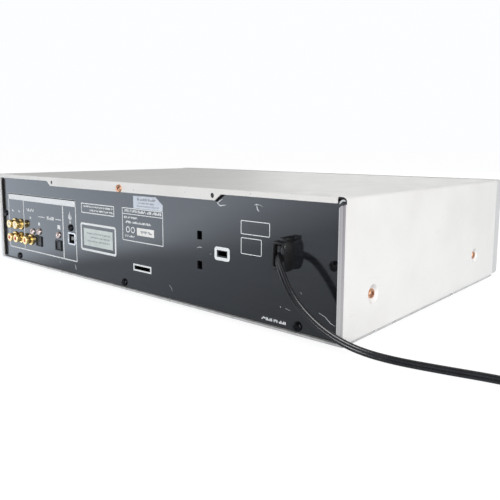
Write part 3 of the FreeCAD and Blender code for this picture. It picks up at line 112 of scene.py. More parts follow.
class Finish:
    """A material with its Principled shader, and short calls for the nodes that feed it."""

    def __init__(self, name, colour, roughness, metallic=0.0, **settings):
        self.material = bpy.data.materials.new(name)
        self.material.use_nodes = True
        self.tree = self.material.node_tree
        self.shader = self.tree.nodes["Principled BSDF"]
        self.set("Base Color", (*colour, 1.0))
        self.set("Roughness", roughness)
        self.set("Metallic", metallic)
        for socket, value in settings.items():
            self.set(socket.replace("_", " "), value)

    def set(self, socket, value):
        self.shader.inputs[socket].default_value = value

    def feed(self, socket, output):
        self.tree.links.new(output, self.shader.inputs[socket])

    def add(self, kind, inputs=(), **settings):
        node = self.tree.nodes.new("ShaderNode" + kind)
        for name, value in settings.items():
            setattr(node, name, value)
        for key, value in dict(inputs).items():
            if isinstance(value, bpy.types.NodeSocket):
                self.tree.links.new(value, node.inputs[key])
            else:
                node.inputs[key].default_value = value
        return node

    def place(self, centre=(0.0, 0.0, 0.0), stretch=(1.0, 1.0, 1.0)):
        """Object coordinates, measured from a centre and divided by a stretch along each axis."""
        source = self.add("TexCoord").outputs["Object"]
        moved = self.add("VectorMath", {0: source, 1: tuple(centre)}, operation="SUBTRACT")
        scaled = self.add("VectorMath", {0: moved.outputs[0], 1: tuple(stretch)}, operation="DIVIDE")
        return scaled.outputs[0]

    def axis(self, letter, centre=0.0):
        """One Object coordinate, measured from a centre."""
        parts = self.add("SeparateXYZ", {0: self.add("TexCoord").outputs["Object"]})
        return self.math("SUBTRACT", parts.outputs[letter], centre)

    def noise(self, grain, detail=2.0, stretch=(1.0, 1.0, 1.0)):
        """Cloudy noise whose blobs are about one grain across, in millimetres."""
        node = self.add("TexNoise", {"Vector": self.place(stretch=stretch), "Scale": 1.0 / (grain * MM),
                                     "Detail": detail})
        return node.outputs["Fac"]

    def math(self, operation, first, second=0.0, third=0.0):
        return self.add("Math", {0: first, 1: second, 2: third}, operation=operation).outputs[0]

    def ramp(self, value, *stops):
        """Colours at places from 0 to 1; a single number stands for a grey."""
        node = self.add("ValToRGB", {"Fac": value})
        marks = node.color_ramp.elements
        while len(marks) < len(stops):
            marks.new(0.5)
        for mark, (position, colour) in zip(marks, stops):
            mark.position = position
            mark.color = (*colour, 1.0) if isinstance(colour, tuple) else (colour, colour, colour, 1.0)
        return node.outputs["Color"]

    def mix(self, share, first, second):
        first, second = ((*value, 1.0) if isinstance(value, tuple) else value for value in (first, second))
        node = self.add("Mix", {0: share, 6: first, 7: second}, data_type="RGBA")
        return node.outputs[2]

    def bump(self, height, strength, distance):
        node = self.add("Bump", {"Height": height, "Strength": strength, "Distance": distance})
        self.feed("Normal", node.outputs["Normal"])

    def vary(self, socket, grain, detail, *stops):
        """Feed a socket from noise of that grain, through a ramp."""
        self.feed(socket, self.ramp(self.noise(grain, detail), *stops))

    def pebble(self, grain, strength, distance, detail=2.0):
        """A fine bump of that grain all over the surface."""
        self.bump(self.noise(grain, detail), strength, distance)


def dress(finish, *names):
    """Give one finish to CAD nodes."""
    for name in names:
        node = nodes[name]
        node.data.materials.clear()
        node.data.materials.append(finish.material)
    print(finish.material.name, "on", *names)


def show(name, bm, finish, body="case", smooth=35.0):
    """Turn a bmesh into a finished piece that rides on a body, with its faces pointing outwards."""
    bmesh.ops.recalc_face_normals(bm, faces=bm.faces)
    mesh = bpy.data.meshes.new(name)
    bm.to_mesh(mesh)
    bm.free()
    for face in mesh.polygons:
        face.use_smooth = True
    mesh.set_sharp_from_angle(angle=math.radians(smooth))
    mesh.materials.append(finish.material)
    piece = bpy.data.objects.new(name, mesh)
    bpy.context.scene.collection.objects.link(piece)
    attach(piece, body)
    print(name, len(mesh.polygons), "faces")
    return piece


# %% [markdown]
# The mains lead is a flat twin flex: two round cores side by side under one black skin, so its section
# is a figure eight. It leaves the gland, hangs down across the panel and lies along the shelf to a tied
# coil with the plug beside it. Its line is one smooth NURBS curve. A skin with a groove needs its own
# section, so the tube is a mesh: a figure eight that is carried along points read from that curve.

# %% The lead's line
LEAD_ROUTE = [(-170.6, 145.0, 56.6), (-174.0, 150.0, 54.4), (-180.0, 154.8, 50.2), (-187.6, 157.4, 40.0),
              (-196.0, 156.2, 29.6), (-205.4, 151.8, 19.8), (-215.4, 145.6, 11.8), (-227.0, 137.8, 5.6),
              (-244.0, 131.0, 2.6), (-270.0, 125.5, 2.6), (-304.0, 119.0, 3.4), (-336.0, 119.0, 3.4)]
TAIL_ROUTE = [(-376.9, 76.75, 8.8), (-377.4, 67.0, 8.6), (-379.4, 56.5, 7.2), (-379.4, 47.0, 7.2)]
CORD_WIDTH = 4.9
COIL_CENTRE = (-340.9, 81.65)
COIL_INNER = 17.1
COIL_PITCH = 5.4
COIL_TURNS = 7.25
COIL_LOW = 3.4
POINTS_PER_TURN = 16


def coil_points():
    """The coil winds inwards, climbs one layer where it turns back, and winds outwards again."""
    reversal = (COIL_TURNS + 0.25) / 2
    steps = int(COIL_TURNS * POINTS_PER_TURN)
    outside = 1.0 / math.cos(math.pi / POINTS_PER_TURN)
    points = []
    for step in range(steps + 1):
        turn = step / POINTS_PER_TURN
        radius = (COIL_INNER + COIL_PITCH * abs(turn - reversal)) * outside
        angle = math.radians(90 + 360 * turn)
        share = min(max((turn - reversal) * 2 + 0.5, 0.0), 1.0)
        height = COIL_LOW + COIL_PITCH * share * share * (3 - 2 * share)
        points.append((COIL_CENTRE[0] + radius * math.cos(angle), COIL_CENTRE[1] + radius * math.sin(angle),
                       height))
    return points


def smooth_line(points):
    """Points along a NURBS curve that has these control points, all in millimetres."""
    curve = bpy.data.curves.new("line", "CURVE")
    curve.dimensions = "3D"
    spline = curve.splines.new("NURBS")
    spline.points.add(len(points) - 1)
    for held, point in zip(spline.points, points):
        held.co = (*mm(*point), 1.0)
    spline.order_u = 3
    spline.use_endpoint_u = True
    spline.resolution_u = 5
    drawn = bpy.data.objects.new("line", curve)
    mesh = bpy.data.meshes.new_from_object(drawn)
    line = [vertex.co.copy() for vertex in mesh.vertices]
    bpy.data.objects.remove(drawn)
    bpy.data.meshes.remove(mesh)
    bpy.data.curves.remove(curve)
    clean = line[:1]
    for point in line[1:]:
        if (point - clean[-1]).length > 0.1 * MM:
            clean.append(point)
    return clean


lead_line = smooth_line(LEAD_ROUTE + coil_points() + TAIL_ROUTE)
coil_start = min(range(len(lead_line)), key=lambda i: (lead_line[i] - mm(*LEAD_ROUTE[-1])).length)

# %% [markdown]
# A flat flex bends easily only across its thin side, so the wide side stays upright along the shelf and in
# the coil, and the thin side faces out of the coil. The section is built once, at every point of the line.

# %% The lead's skin
CORE_RADIUS = 0.285
CORE_STEPS = 10


def section_ring():
    """A figure eight, one unit wide: two circles that meet in a groove."""
    offset = 0.5 - CORE_RADIUS
    reach = math.pi - math.acos(offset / CORE_RADIUS) * 0.94
    ring = []
    for side in (1, -1):
        for step in range(CORE_STEPS):
            angle = (step / (CORE_STEPS - 1) * 2 - 1) * reach
            ring.append((side * (offset + CORE_RADIUS * math.cos(angle)),
                         side * CORE_RADIUS * math.sin(angle)))
    return ring


def close_tube(bm, loops):
    """Faces from each loop to the next, and one over each end."""
    count = len(loops[0])
    for near, far in zip(loops, loops[1:]):
        for i in range(count):
            bm.faces.new((near[i], near[(i + 1) % count], far[(i + 1) % count], far[i]))
    bm.faces.new(loops[0])
    bm.faces.new(loops[-1])
    return bm


def carried_tube(line, ring, width, thin_side):
    """A skin that carries the ring along the line; thin_side says which way the thin side faces."""
    bm = bmesh.new()
    loops = []
    for index, point in enumerate(line):
        along = (line[min(index + 1, len(line) - 1)] - line[max(index - 1, 0)]).normalized()
        facing = thin_side(index, along)
        facing = (facing - along * facing.dot(along)).normalized()
        wide = along.cross(facing)
        loops.append([bm.verts.new(point + (wide * u + facing * v) * width) for u, v in ring])
    return close_tube(bm, loops)


def lead_facing(index, along):
    """Out of the panel while the lead hangs, and out of the coil from where it begins."""
    return Vector((0.0, 1.0, 0.0)) if index < coil_start else along.cross(Vector((0.0, 0.0, 1.0)))


skin = Finish("cord_skin", shade(22, 22, 25), 0.24, IOR=1.6)
skin.vary("Base Color", 9, 3.0, (0.3, shade(17, 17, 20)), (0.75, shade(29, 29, 32)))
skin.vary("Roughness", 3, 4.0, (0.25, 0.18), (0.8, 0.34))
skin.pebble(0.5, 0.12, 0.0002)
lead = show("mains_lead", carried_tube(lead_line, section_ring(), CORD_WIDTH * MM, lead_facing), skin,
            smooth=50.0)
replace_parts(lead, "cord_lead", "cord_coil", "cord_tail")

# %% [markdown]
# Where the lead enters the plug, a ribbed rubber sleeve keeps it from bending sharply. It is as wide as
# the plug's neck at one end and hardly wider than the lead at the other, with a groove after each rib.

# %% The plug's sleeve
SLEEVE_LENGTH = 20.5
SLEEVE_RIBS = 6
SLEEVE_STEPS = 28
GROOVES = (0.0, 0.0, -0.55, -0.55)


def relief_sleeve(line, length, ribs):
    """A ribbed sleeve round the end of the line that narrows away from the plug."""
    path = [line[-1]]
    for point in reversed(line[:-1]):
        if (point - path[-1]).length > 0.25 * MM:
            path.append(point)
        if (point - line[-1]).length > length * MM:
            break
    bm = bmesh.new()
    loops = []
    steps = ribs * len(GROOVES)
    for step in range(steps + 1):
        share = step / steps
        index = share * (len(path) - 1)
        low = min(int(index), len(path) - 2)
        centre = path[low].lerp(path[low + 1], index - low)
        along = (path[low + 1] - path[low]).normalized()
        side = along.cross(Vector((0.0, 0.0, 1.0))).normalized()
        ridge = GROOVES[step % len(GROOVES)] if 0 < step < steps else 0.0
        half_thin = 4.4 - 2.4 * share + ridge
        half_tall = 5.4 - 2.3 * share + ridge
        angles = [2 * math.pi * i / SLEEVE_STEPS for i in range(SLEEVE_STEPS)]
        ring = [(half_thin * math.cos(angle), half_tall * math.sin(angle)) for angle in angles]
        loops.append([bm.verts.new(centre + (side * u + along.cross(side) * v) * MM) for u, v in ring])
    return close_tube(bm, loops)


relief_rubber = Finish("relief_rubber", shade(26, 26, 28), 0.45)
relief_rubber.vary("Base Color", 6, 4.0, (0.3, shade(22, 22, 24)), (0.7, shade(33, 33, 35)))
relief_rubber.vary("Roughness", 3, 2.0, (0.3, 0.36), (0.7, 0.56))
relief_rubber.pebble(0.5, 0.1, 0.0002)
relief = show("plug_relief", relief_sleeve(lead_line, SLEEVE_LENGTH, SLEEVE_RIBS), relief_rubber,
              smooth=30.0)

# %% [markdown]
# The shelf is a plain white floor under a white world. The camera sees the floor mostly as plain white
# light, mixed with a little of the real surface, so a soft shadow stays and the picture keeps the
# photograph's white background without more light on the deck. The black panel mirrors what lies before
# it, and mirrored rays get tones of their own: near the panel the shelf, darker towards its right end, and
# farther away the room, which is bright where a line from the deck's middle runs to the left end.

# %% Floor
FLOOR_SIZE = 60.0
FLOOR_GLOW = 0.74
FLOOR_LIGHT = 1.2
PANEL_FOOT = (-0.06, 0.136, 0.0)
SHELF_END = 0.20
ROOM_START = 0.32
SHADED_SHELF = 0.38
PLAIN_SHELF = 0.62
LIT_SHELF = 0.74
SHELF_GAIN = 1.5
DARK_ROOM = 0.62
BRIGHT_ROOM = 2.5
ROOM_GAIN = 3.6
ROOM_AHEAD = 0.15
WINDOW_TINT = (0.9, 1.0, 1.14)


def ray(finish, kind):
    """1 for one kind of ray, such as camera rays, and 0 for the others."""
    return finish.add("LightPath").outputs["Is %s Ray" % kind]


shelf = Finish("white_floor", (0.9, 0.9, 0.9), 1.0, Specular_IOR_Level=0.0)
from_deck = shelf.add("VectorMath", {0: shelf.place(centre=PANEL_FOOT)}, operation="LENGTH")
away = shelf.ramp(from_deck.outputs["Value"], (SHELF_END, 0.0), (ROOM_START, 1.0))
depth = shelf.math("MAXIMUM", shelf.math("ABSOLUTE", shelf.axis("Y")), 0.05)
bearing = shelf.math("DIVIDE", shelf.axis("X"), depth)
across_room = shelf.math("MULTIPLY_ADD", bearing, ROOM_GAIN, ROOM_AHEAD)
room_tone = shelf.add("Clamp", {"Value": across_room, "Min": DARK_ROOM, "Max": BRIGHT_ROOM})
along_shelf = shelf.math("MULTIPLY_ADD", shelf.axis("X"), SHELF_GAIN, PLAIN_SHELF)
shelf_tone = shelf.add("Clamp", {"Value": along_shelf, "Min": SHADED_SHELF, "Max": LIT_SHELF})
mirror = ray(shelf, "Glossy")
mirrored_light = shelf.math("MULTIPLY_ADD", away,
                            shelf.math("SUBTRACT", room_tone.outputs[0], shelf_tone.outputs[0]),
                            shelf_tone.outputs[0])
straight_light = shelf.math("MULTIPLY", shelf.math("SUBTRACT", 1.0, mirror), FLOOR_LIGHT)
light = shelf.math("MULTIPLY_ADD", mirror, mirrored_light, straight_light)
glow = shelf.add("Emission", {"Color": shelf.mix(mirror, (1.0, 1.0, 1.0), WINDOW_TINT), "Strength": light})
seen = shelf.math("MAXIMUM", ray(shelf, "Camera"), ray(shelf, "Transmission"))
glow_share = shelf.math("MULTIPLY", shelf.math("MAXIMUM", seen, mirror), FLOOR_GLOW)
floor_shader = shelf.add("MixShader", {0: glow_share, 1: shelf.shader.outputs[0], 2: glow.outputs[0]})
shelf.tree.links.new(floor_shader.outputs[0], shelf.tree.nodes["Material Output"].inputs["Surface"])


def stage_plane(name, finish, size, place=Matrix.Identity(4)):
    """A flat square that isn't part of the deck."""
    bm = bmesh.new()
    bmesh.ops.create_grid(bm, x_segments=1, y_segments=1, size=size / 2, matrix=place)
    mesh = bpy.data.meshes.new(name)
    bm.to_mesh(mesh)
    bm.free()
    mesh.materials.append(finish.material)
    plane = bpy.data.objects.new(name, mesh)
    bpy.context.scene.collection.objects.link(plane)
    return plane


stage_plane("floor", shelf, FLOOR_SIZE)
print("floor", FLOOR_SIZE, "m wide")

# %% [markdown]
# The world is a white sky for the camera and for what is seen through the window, and a dimmer one as a
# light, so that the lamps shape the deck. A wall behind the camera, which only mirrored rays meet, gives
# the glossy parts a darker side. Each kind of ray adds its own amount to the world's strength.

# %% World
WORLD_LEVEL = 0.42
MIRRORED_LEVEL = 0.6
WALL_SIZE = 4.0
WALL_PLACE = (-0.85, 1.9, 1.5)
wall = Finish("dark_wall", (0.2, 0.2, 0.21), 1.0, Specular_IOR_Level=0.0)
behind_camera = Matrix.Translation(WALL_PLACE) @ Matrix.Rotation(math.radians(90), 4, "X")
dark_wall = stage_plane("dark_wall", wall, WALL_SIZE, behind_camera)
for other_ray in ("camera", "diffuse", "shadow", "transmission"):
    setattr(dark_wall, "visible_" + other_ray, False)

world = bpy.data.worlds.new("studio")
bpy.context.scene.world = world
world.use_nodes = True
backdrop = world.node_tree.nodes["Background"]
rays = world.node_tree.nodes.new("ShaderNodeLightPath")
strength = None
for kind, amount in (("Camera", 1.0 - WORLD_LEVEL), ("Transmission", 1.0 - WORLD_LEVEL),
                     ("Glossy", MIRRORED_LEVEL - WORLD_LEVEL)):
    step = world.node_tree.nodes.new("ShaderNodeMath")
    step.operation = "MULTIPLY_ADD"
    step.inputs[1].default_value = amount
    step.inputs[2].default_value = WORLD_LEVEL
    world.node_tree.links.new(rays.outputs["Is %s Ray" % kind], step.inputs[0])
    if strength:
        world.node_tree.links.new(strength, step.inputs[2])
    strength = step.outputs[0]
world.node_tree.links.new(strength, backdrop.inputs["Strength"])
backdrop.inputs["Color"].default_value = (0.97, 0.985, 1.0, 1.0)
print("world level", WORLD_LEVEL, "and", MIRRORED_LEVEL, "where it is mirrored")

# %% [markdown]
# One large soft lamp stands low beyond the deck's near side wall. In the photograph that wall is nearly
# white, the top a little darker and the rear edges grey. The lamp's place gives that order, and painted
# shade on the top and on the rear flanges adds to it.
# A weaker lamp in front keeps the controls readable when the deck is seen from the other side.


# %% Lamps
def soft_lamp(name, place, power, size):
    """A square lamp that faces the deck from a place in metres."""
    data = bpy.data.lights.new(name, "AREA")
    data.energy = power
    data.size = size
    lamp = bpy.data.objects.new(name, data)
    bpy.context.scene.collection.objects.link(lamp)
    facing = (-Vector(place)).to_track_quat("-Z", "Y").to_matrix().to_4x4()
    lamp.matrix_world = Matrix.Translation(place) @ facing
    print(name, power, "W")


soft_lamp("key_lamp", (-2.0, 1.5, 0.55), 66.0, 1.6)
soft_lamp("front_lamp", (0.9, -2.2, 1.1), 12.0, 1.6)
bpy.context.scene.view_settings.view_transform = "Standard"

# %% [markdown]
# The cover is one folded steel sheet with a pale warm paint. Sprayed paint is never quite even: it has a
# fine pebbled skin, slow changes of tone, and after years on a shelf small dark chips along the folded
# edges and pale rubs on the walls. The chips only grow where the sheet is folded, near the top and rear.

# %% Sprayed paint
COVER_TOP = 95.0
REAR_FACE = 139.5
HALF_WIDTH = 215.0
SIDE_SCREW_Y = (103.9, -73.9)
SIDE_SCREW_Z = 31.6


def painted(name, colour, dark, light, roughness):
    """Sprayed paint with a pebbled skin and slow changes of tone: the finish, and its colour so far."""
    paint = Finish(name, colour, roughness)
    cloud = paint.noise(60, 4.0)
    fleck = paint.noise(0.45, 2.0)
    tone = paint.ramp(cloud, (0.25, dark), (0.5, colour), (0.8, light))
    speckled = paint.mix(paint.ramp(fleck, (0.56, 0.0), (0.72, 0.10)), tone, shade(150, 146, 142))
    uneven = paint.noise(14, 3.0)
    paint.feed("Roughness", paint.ramp(uneven, (0.3, roughness - 0.06), (0.75, roughness + 0.08)))
    paint.pebble(0.8, 0.10, 0.0003, 1.0)
    return paint, speckled


def beyond(finish, letter, edge, width):
    """0 before an edge along one axis and 1 past it, over a width, in millimetres."""
    distance = finish.math("DIVIDE", finish.axis(letter, edge * MM), width * MM)
    return finish.add("Clamp", {"Value": distance}).outputs[0]


cover_paint, sprayed = painted("cover_paint", shade(225, 224, 222), shade(218, 216, 213),
                               shade(231, 230, 228), 0.46)
near_top = beyond(cover_paint, "Z", COVER_TOP - 9.0, 8.0)
near_rear = beyond(cover_paint, "Y", REAR_FACE - 3.0, 2.5)
worn_edge = cover_paint.math("MAXIMUM", cover_paint.math("MULTIPLY", near_top, 0.55),
                             cover_paint.math("MULTIPLY", near_rear, 0.93))
chip = cover_paint.noise(1.5, 5.0, stretch=(2.4, 2.4, 1.0))
chipped = cover_paint.ramp(cover_paint.math("MULTIPLY", chip, worn_edge), (0.66, 0.0), (0.69, 0.8))
rub = cover_paint.ramp(cover_paint.noise(7, 6.0, stretch=(1.0, 2.6, 0.5)), (0.66, 0.0), (0.8, 0.24))
rubbed = cover_paint.mix(rub, sprayed, shade(199, 184, 166))
# The top is mixed towards a darker warm grey: painted shade, as less light falls on the top than on the
# walls.
painted_top_shade = cover_paint.math("MULTIPLY", beyond(cover_paint, "Z", COVER_TOP - 0.8, 0.7), 0.42)
rubbed_and_shaded = cover_paint.mix(painted_top_shade, rubbed, shade(204, 201, 196))

# %% [markdown]
# A few places on the cover get painted shade of their own, as in the photograph. The upper half of the
# dimple round each side screw is painted darker, as shade. The flanges that turn in at the rear have grey
# stripes along their folds that grow darker towards the top: painted shade and painted reflection of the
# bends. The gap at each cut upper corner is painted nearly black, as its shadow.

# %% Painted shade on the cover's folds
DIMPLE_REACH = 10.0
FLANGE_WIDTH = 5.0
# The upper half of each dimple is mixed towards grey: painted shade under the dimple's upper rim.
for screw_y in SIDE_SCREW_Y:
    around_screw = cover_paint.place(centre=(0.0, screw_y * MM, SIDE_SCREW_Z * MM))
    on_wall = cover_paint.add("VectorMath", {0: around_screw, 1: (0.0, 1.0, 1.0)}, operation="MULTIPLY")
    reach = cover_paint.add("VectorMath", {0: on_wall.outputs[0]}, operation="LENGTH").outputs["Value"]
    reach_share = cover_paint.math("DIVIDE", reach, DIMPLE_REACH * MM)
    in_dimple = cover_paint.ramp(reach_share, (0.52, 1.0), (0.66, 0.0))
    upper_part = cover_paint.math("MULTIPLY", beyond(cover_paint, "Z", SIDE_SCREW_Z, 3.0), 0.5)
    rubbed_and_shaded = cover_paint.mix(cover_paint.math("MULTIPLY", in_dimple, upper_part), rubbed_and_shaded, shade(168, 167, 170))
# The rear flanges get painted shade and painted reflection: grey stripes along the folds, darker towards the
# top on the near side, pale turning grey on the far side.
rear_facing = beyond(cover_paint, "Y", REAR_FACE - 0.4, 0.2)
from_middle = cover_paint.math("ABSOLUTE", cover_paint.axis("X"))
from_side = cover_paint.math("SUBTRACT", HALF_WIDTH * MM, from_middle)
side_share = cover_paint.math("DIVIDE", from_side, FLANGE_WIDTH * MM)
on_flange = cover_paint.math("MULTIPLY", rear_facing, cover_paint.math("LESS_THAN", side_share, 1.0))
stripes = cover_paint.ramp(side_share, (0.05, shade(156, 151, 157)), (0.3, shade(136, 133, 138)),
                           (0.42, shade(172, 170, 174)), (0.7, shade(156, 155, 159)),
                           (0.9, shade(192, 192, 195)))
height_share = cover_paint.math("DIVIDE", cover_paint.axis("Z"), COVER_TOP * MM)
near_side = cover_paint.mix(cover_paint.ramp(height_share, (0.1, 0.55), (0.9, 1.0)), rubbed_and_shaded, stripes)
far_side = cover_paint.ramp(side_share, (0.3, shade(246, 246, 246)), (0.8, shade(206, 206, 208)))
either_side = cover_paint.mix(beyond(cover_paint, "X", 0.0, 1.0), near_side, far_side)
flange_shade = cover_paint.mix(on_flange, rubbed_and_shaded, either_side)
# The gap at each cut upper corner is painted nearly black: painted shadow.
cut_corner_shadow = cover_paint.math("MULTIPLY", beyond(cover_paint, "Z", COVER_TOP - 4.4, 0.2),
                              cover_paint.math("MULTIPLY", beyond(cover_paint, "Y", REAR_FACE - 1.25, 0.02),
                                               cover_paint.math("LESS_THAN", from_side, 5.9 * MM)))
flange_shade = cover_paint.mix(cut_corner_shadow, flange_shade, shade(14, 14, 15))
cover_paint.feed("Base Color", cover_paint.mix(chipped, flange_shade, shade(84, 80, 78)))
dress(cover_paint, "top_cover")

# %% [markdown]
# The rear panel is steel with a smooth black lacquer that mirrors what stands in front of it. It shows
# faint brush lines under the lacquer, dust, and hair-fine scratches. The lacquer is a glossy surface over
# a near-black colour, so it turns pale by itself where it is seen at a low angle.

# %% Black lacquer
lacquer = Finish("panel_black", shade(24, 25, 28), 0.1, IOR=1.7)
brushed = lacquer.noise(1.1, 4.0, stretch=(60.0, 1.0, 1.0))
dust = lacquer.ramp(lacquer.noise(0.9, 6.0), (0.70, 0.0), (0.80, 0.35))
ground = lacquer.ramp(brushed, (0.3, shade(20, 21, 24)), (0.7, shade(31, 33, 36)))
lacquer.feed("Base Color", lacquer.mix(dust, ground, shade(92, 92, 92)))
smear = lacquer.noise(38, 5.0, stretch=(2.0, 1.0, 0.7))
lacquer.feed("Roughness", lacquer.ramp(smear, (0.3, 0.06), (0.75, 0.15)))
hair = lacquer.ramp(lacquer.noise(0.25, 2.0, stretch=(90.0, 1.0, 2.0)), (0.62, 0.0), (0.7, 1.0))
lacquer.bump(hair, 0.05, 0.0001)
dress(lacquer, "rear_panel")

# %% [markdown]
# The bottom is bare galvanised sheet. Zinc freezes in flat crystals, so a Voronoi pattern with a little
# change in brightness and gloss from cell to cell looks right. The screws, rods and pins show fine lines
# where they were drawn or turned. The bottom's dull zinc is only partly a mirror, so it stays pale.


# %% Bare metals
def galvanised(name, dark, light, cell):
    """Zinc-coated sheet with crystals about one cell across, in millimetres."""
    zinc = Finish(name, light, 0.35, metallic=1.0)
    crystal = zinc.add("TexVoronoi", {"Vector": zinc.place(), "Scale": 1.0 / (cell * MM)})
    cells = zinc.add("SeparateColor", {0: crystal.outputs["Color"]}).outputs[0]
    grain = zinc.noise(0.6, 3.0)
    zinc.feed("Base Color", zinc.mix(grain, zinc.ramp(cells, (0.0, dark), (1.0, light)), dark))
    zinc.feed("Roughness", zinc.ramp(cells, (0.0, 0.26), (1.0, 0.46)))
    zinc.bump(cells, 0.06, 0.0002)
    return zinc


def drawn_metal(name, colour, roughness, stretch, grain=0.35):
    """Metal with fine lines along the way it was drawn, cut or brushed."""
    metal = Finish(name, colour, roughness, metallic=1.0)
    lines = metal.noise(grain, 3.0, stretch=stretch)
    darker = tuple(value * 0.72 for value in colour)
    metal.feed("Base Color", metal.ramp(lines, (0.25, darker), (0.7, colour)))
    metal.feed("Roughness", metal.ramp(lines, (0.3, roughness - 0.08), (0.75, roughness + 0.12)))
    metal.bump(lines, 0.10, 0.0001)
    return metal


chassis_zinc = galvanised("chassis_zinc", shade(196, 195, 194), shade(226, 225, 224), 5.0)
chassis_zinc.set("Metallic", 0.35)
dress(chassis_zinc, "bottom_chassis")
mechanism_steel = galvanised("mechanism_steel", shade(165, 166, 168), shade(205, 205, 206), 2.5)
dress(mechanism_steel, "mechanism_frame", "disc_holder", "magnetic_head_arm")
rod_steel = drawn_metal("rod_steel", shade(202, 203, 206), 0.22, (1.0, 30.0, 1.0))
dress(rod_steel, "guide_rods", "lead_screw", "spindle_motor", "sled_motor")
gold = drawn_metal("gold_plate", shade(246, 216, 146), 0.24, (1.0, 6.0, 1.0))
copper = drawn_metal("copper_plate", shade(240, 184, 148), 0.34, (1.0, 1.0, 1.0), grain=0.6)
pink_zinc = drawn_metal("pink_zinc", shade(236, 216, 208), 0.3, (1.0, 1.0, 1.0), grain=0.6)
black_zinc = drawn_metal("black_zinc", shade(52, 52, 56), 0.22, (1.0, 1.0, 1.0), grain=0.5)
bright_zinc = drawn_metal("bright_zinc", shade(190, 190, 192), 0.30, (1.0, 1.0, 1.0), grain=0.5)
brass = drawn_metal("pin_brass", shade(206, 170, 96), 0.22, (1.0, 20.0, 1.0))
dress(brass, "plug_pins")

# %% [markdown]
# The front is one moulded bar with a brushed silver coat. Its lines run along the deck, so the noise that
# draws them is stretched along X. The window is smoked plastic in front of the dark display glass.

# %% Front finishes
front_coat = drawn_metal("front_coat", shade(228, 227, 225), 0.38, (160.0, 1.0, 1.0), grain=0.3)
front_coat.set("Metallic", 0.3)
dress(front_coat, "front_panel")
smoke = Finish("window_smoke", shade(176, 182, 184), 0.05, Transmission_Weight=0.95, IOR=1.46)
smoke.vary("Roughness", 20, 5.0, (0.3, 0.03), (0.75, 0.12))
smoke.pebble(40, 0.03, 0.0003, 1.0)
dress(smoke, "display_window")
display = Finish("display_glass", shade(14, 20, 20), 0.12)
display.feed("Base Color", display.ramp(display.noise(0.6, 1.0, stretch=(1.0, 1.0, 40.0)),
                                        (0.45, shade(12, 17, 17)), (0.6, shade(24, 33, 33))))
dress(display, "display_module")


def moulded(name, colour, roughness, grain=0.5, depth=0.10):
    """Moulded plastic: a fine spark-eroded grain, and a slow change of gloss from handling."""
    plastic = Finish(name, colour, roughness)
    brighter = tuple(min(value * 1.22 + 0.002, 1.0) for value in colour)
    darker = tuple(value * 0.84 for value in colour)
    plastic.vary("Base Color", 9, 5.0, (0.28, darker), (0.5, colour), (0.78, brighter))
    plastic.vary("Roughness", 6, 4.0, (0.3, roughness - 0.08), (0.75, roughness + 0.10))
    plastic.pebble(grain, depth, 0.0002)
    return plastic


key_plastic = moulded("key_plastic", shade(188, 187, 184), 0.36, grain=0.3, depth=0.06)
black_plastic = moulded("black_plastic", shade(30, 30, 32), 0.42)
rubber = moulded("foot_rubber", shade(38, 38, 39), 0.72, grain=0.7, depth=0.2)
cord_plastic = moulded("cord_plastic", shade(27, 27, 29), 0.40)
KEYS = ("power_button", "eject_button", "play_button", "pause_button", "stop_button", "back_button",
        "forward_button", "menu_button", "timer_switch", "disc_flap")
dress(key_plastic, *KEYS)
dress(moulded("record_red", shade(150, 52, 46), 0.38, grain=0.3), "record_button")
dress(black_plastic, "headphone_socket", "optical_sockets", "optical_shutter_in", "optical_shutter_out",
      "optical_pickup", "spindle_hub", "cord_gland")
dress(rubber, "foot_front_left", "foot_front_right", "foot_rear_left", "foot_rear_right")
dress(cord_plastic, "plug_body")
dress(moulded("tie_plastic", shade(34, 34, 36), 0.3), "cord_tie")

# %% [markdown]
# The knobs are turned metal. A cutting tool leaves rings on the face, so the pattern follows the distance
# from the knob's own axis. Each knob has its own centre, taken from its box in the frame.

# %% Turned knobs
RINGS_PER_METRE = 5200.0


def turned_metal(name, node, colour, roughness):
    """Metal with the rings of a lathe tool about the node's own axis along Y."""
    low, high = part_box(node)
    centre = (low + high) / 2
    metal = Finish(name, colour, roughness, metallic=1.0)
    spot = metal.place(centre=tuple(centre))
    flat = metal.add("VectorMath", {0: spot, 1: (1.0, 0.0, 1.0)}, operation="MULTIPLY").outputs[0]
    reach = metal.add("VectorMath", {0: flat}, operation="LENGTH").outputs["Value"]
    rings = metal.add("TexNoise", {"W": metal.math("MULTIPLY", reach, RINGS_PER_METRE), "Scale": 1.0,
                                   "Detail": 2.0}, noise_dimensions="1D").outputs["Fac"]
    darker = tuple(value * 0.74 for value in colour)
    metal.feed("Base Color", metal.ramp(rings, (0.3, darker), (0.7, colour)))
    metal.feed("Roughness", metal.ramp(rings, (0.3, roughness - 0.06), (0.7, roughness + 0.12)))
    metal.bump(rings, 0.15, 0.0001)
    dress(metal, node)
    return metal


KNOBS = ("record_level_knob", "phones_level_knob", "jog_dial", "jog_shaft")
knob_finishes = {node: turned_metal(node + "_metal", node, shade(206, 204, 200), 0.27) for node in KNOBS}

# %% [markdown]
# Inside are the boards, the transformer and the capacitors. They show only where the deck is opened, but
# each has its own look: green lacquer over copper tracks with black chips, stacked iron sheets, a wound
# coil and printed sleeves. One node can hold two finishes where its height tells them apart.

# %% Boards and power supply
BOARD_TOP = 16.2
CAN_HEIGHT = 25.6
NO_CHIPS = 500.0


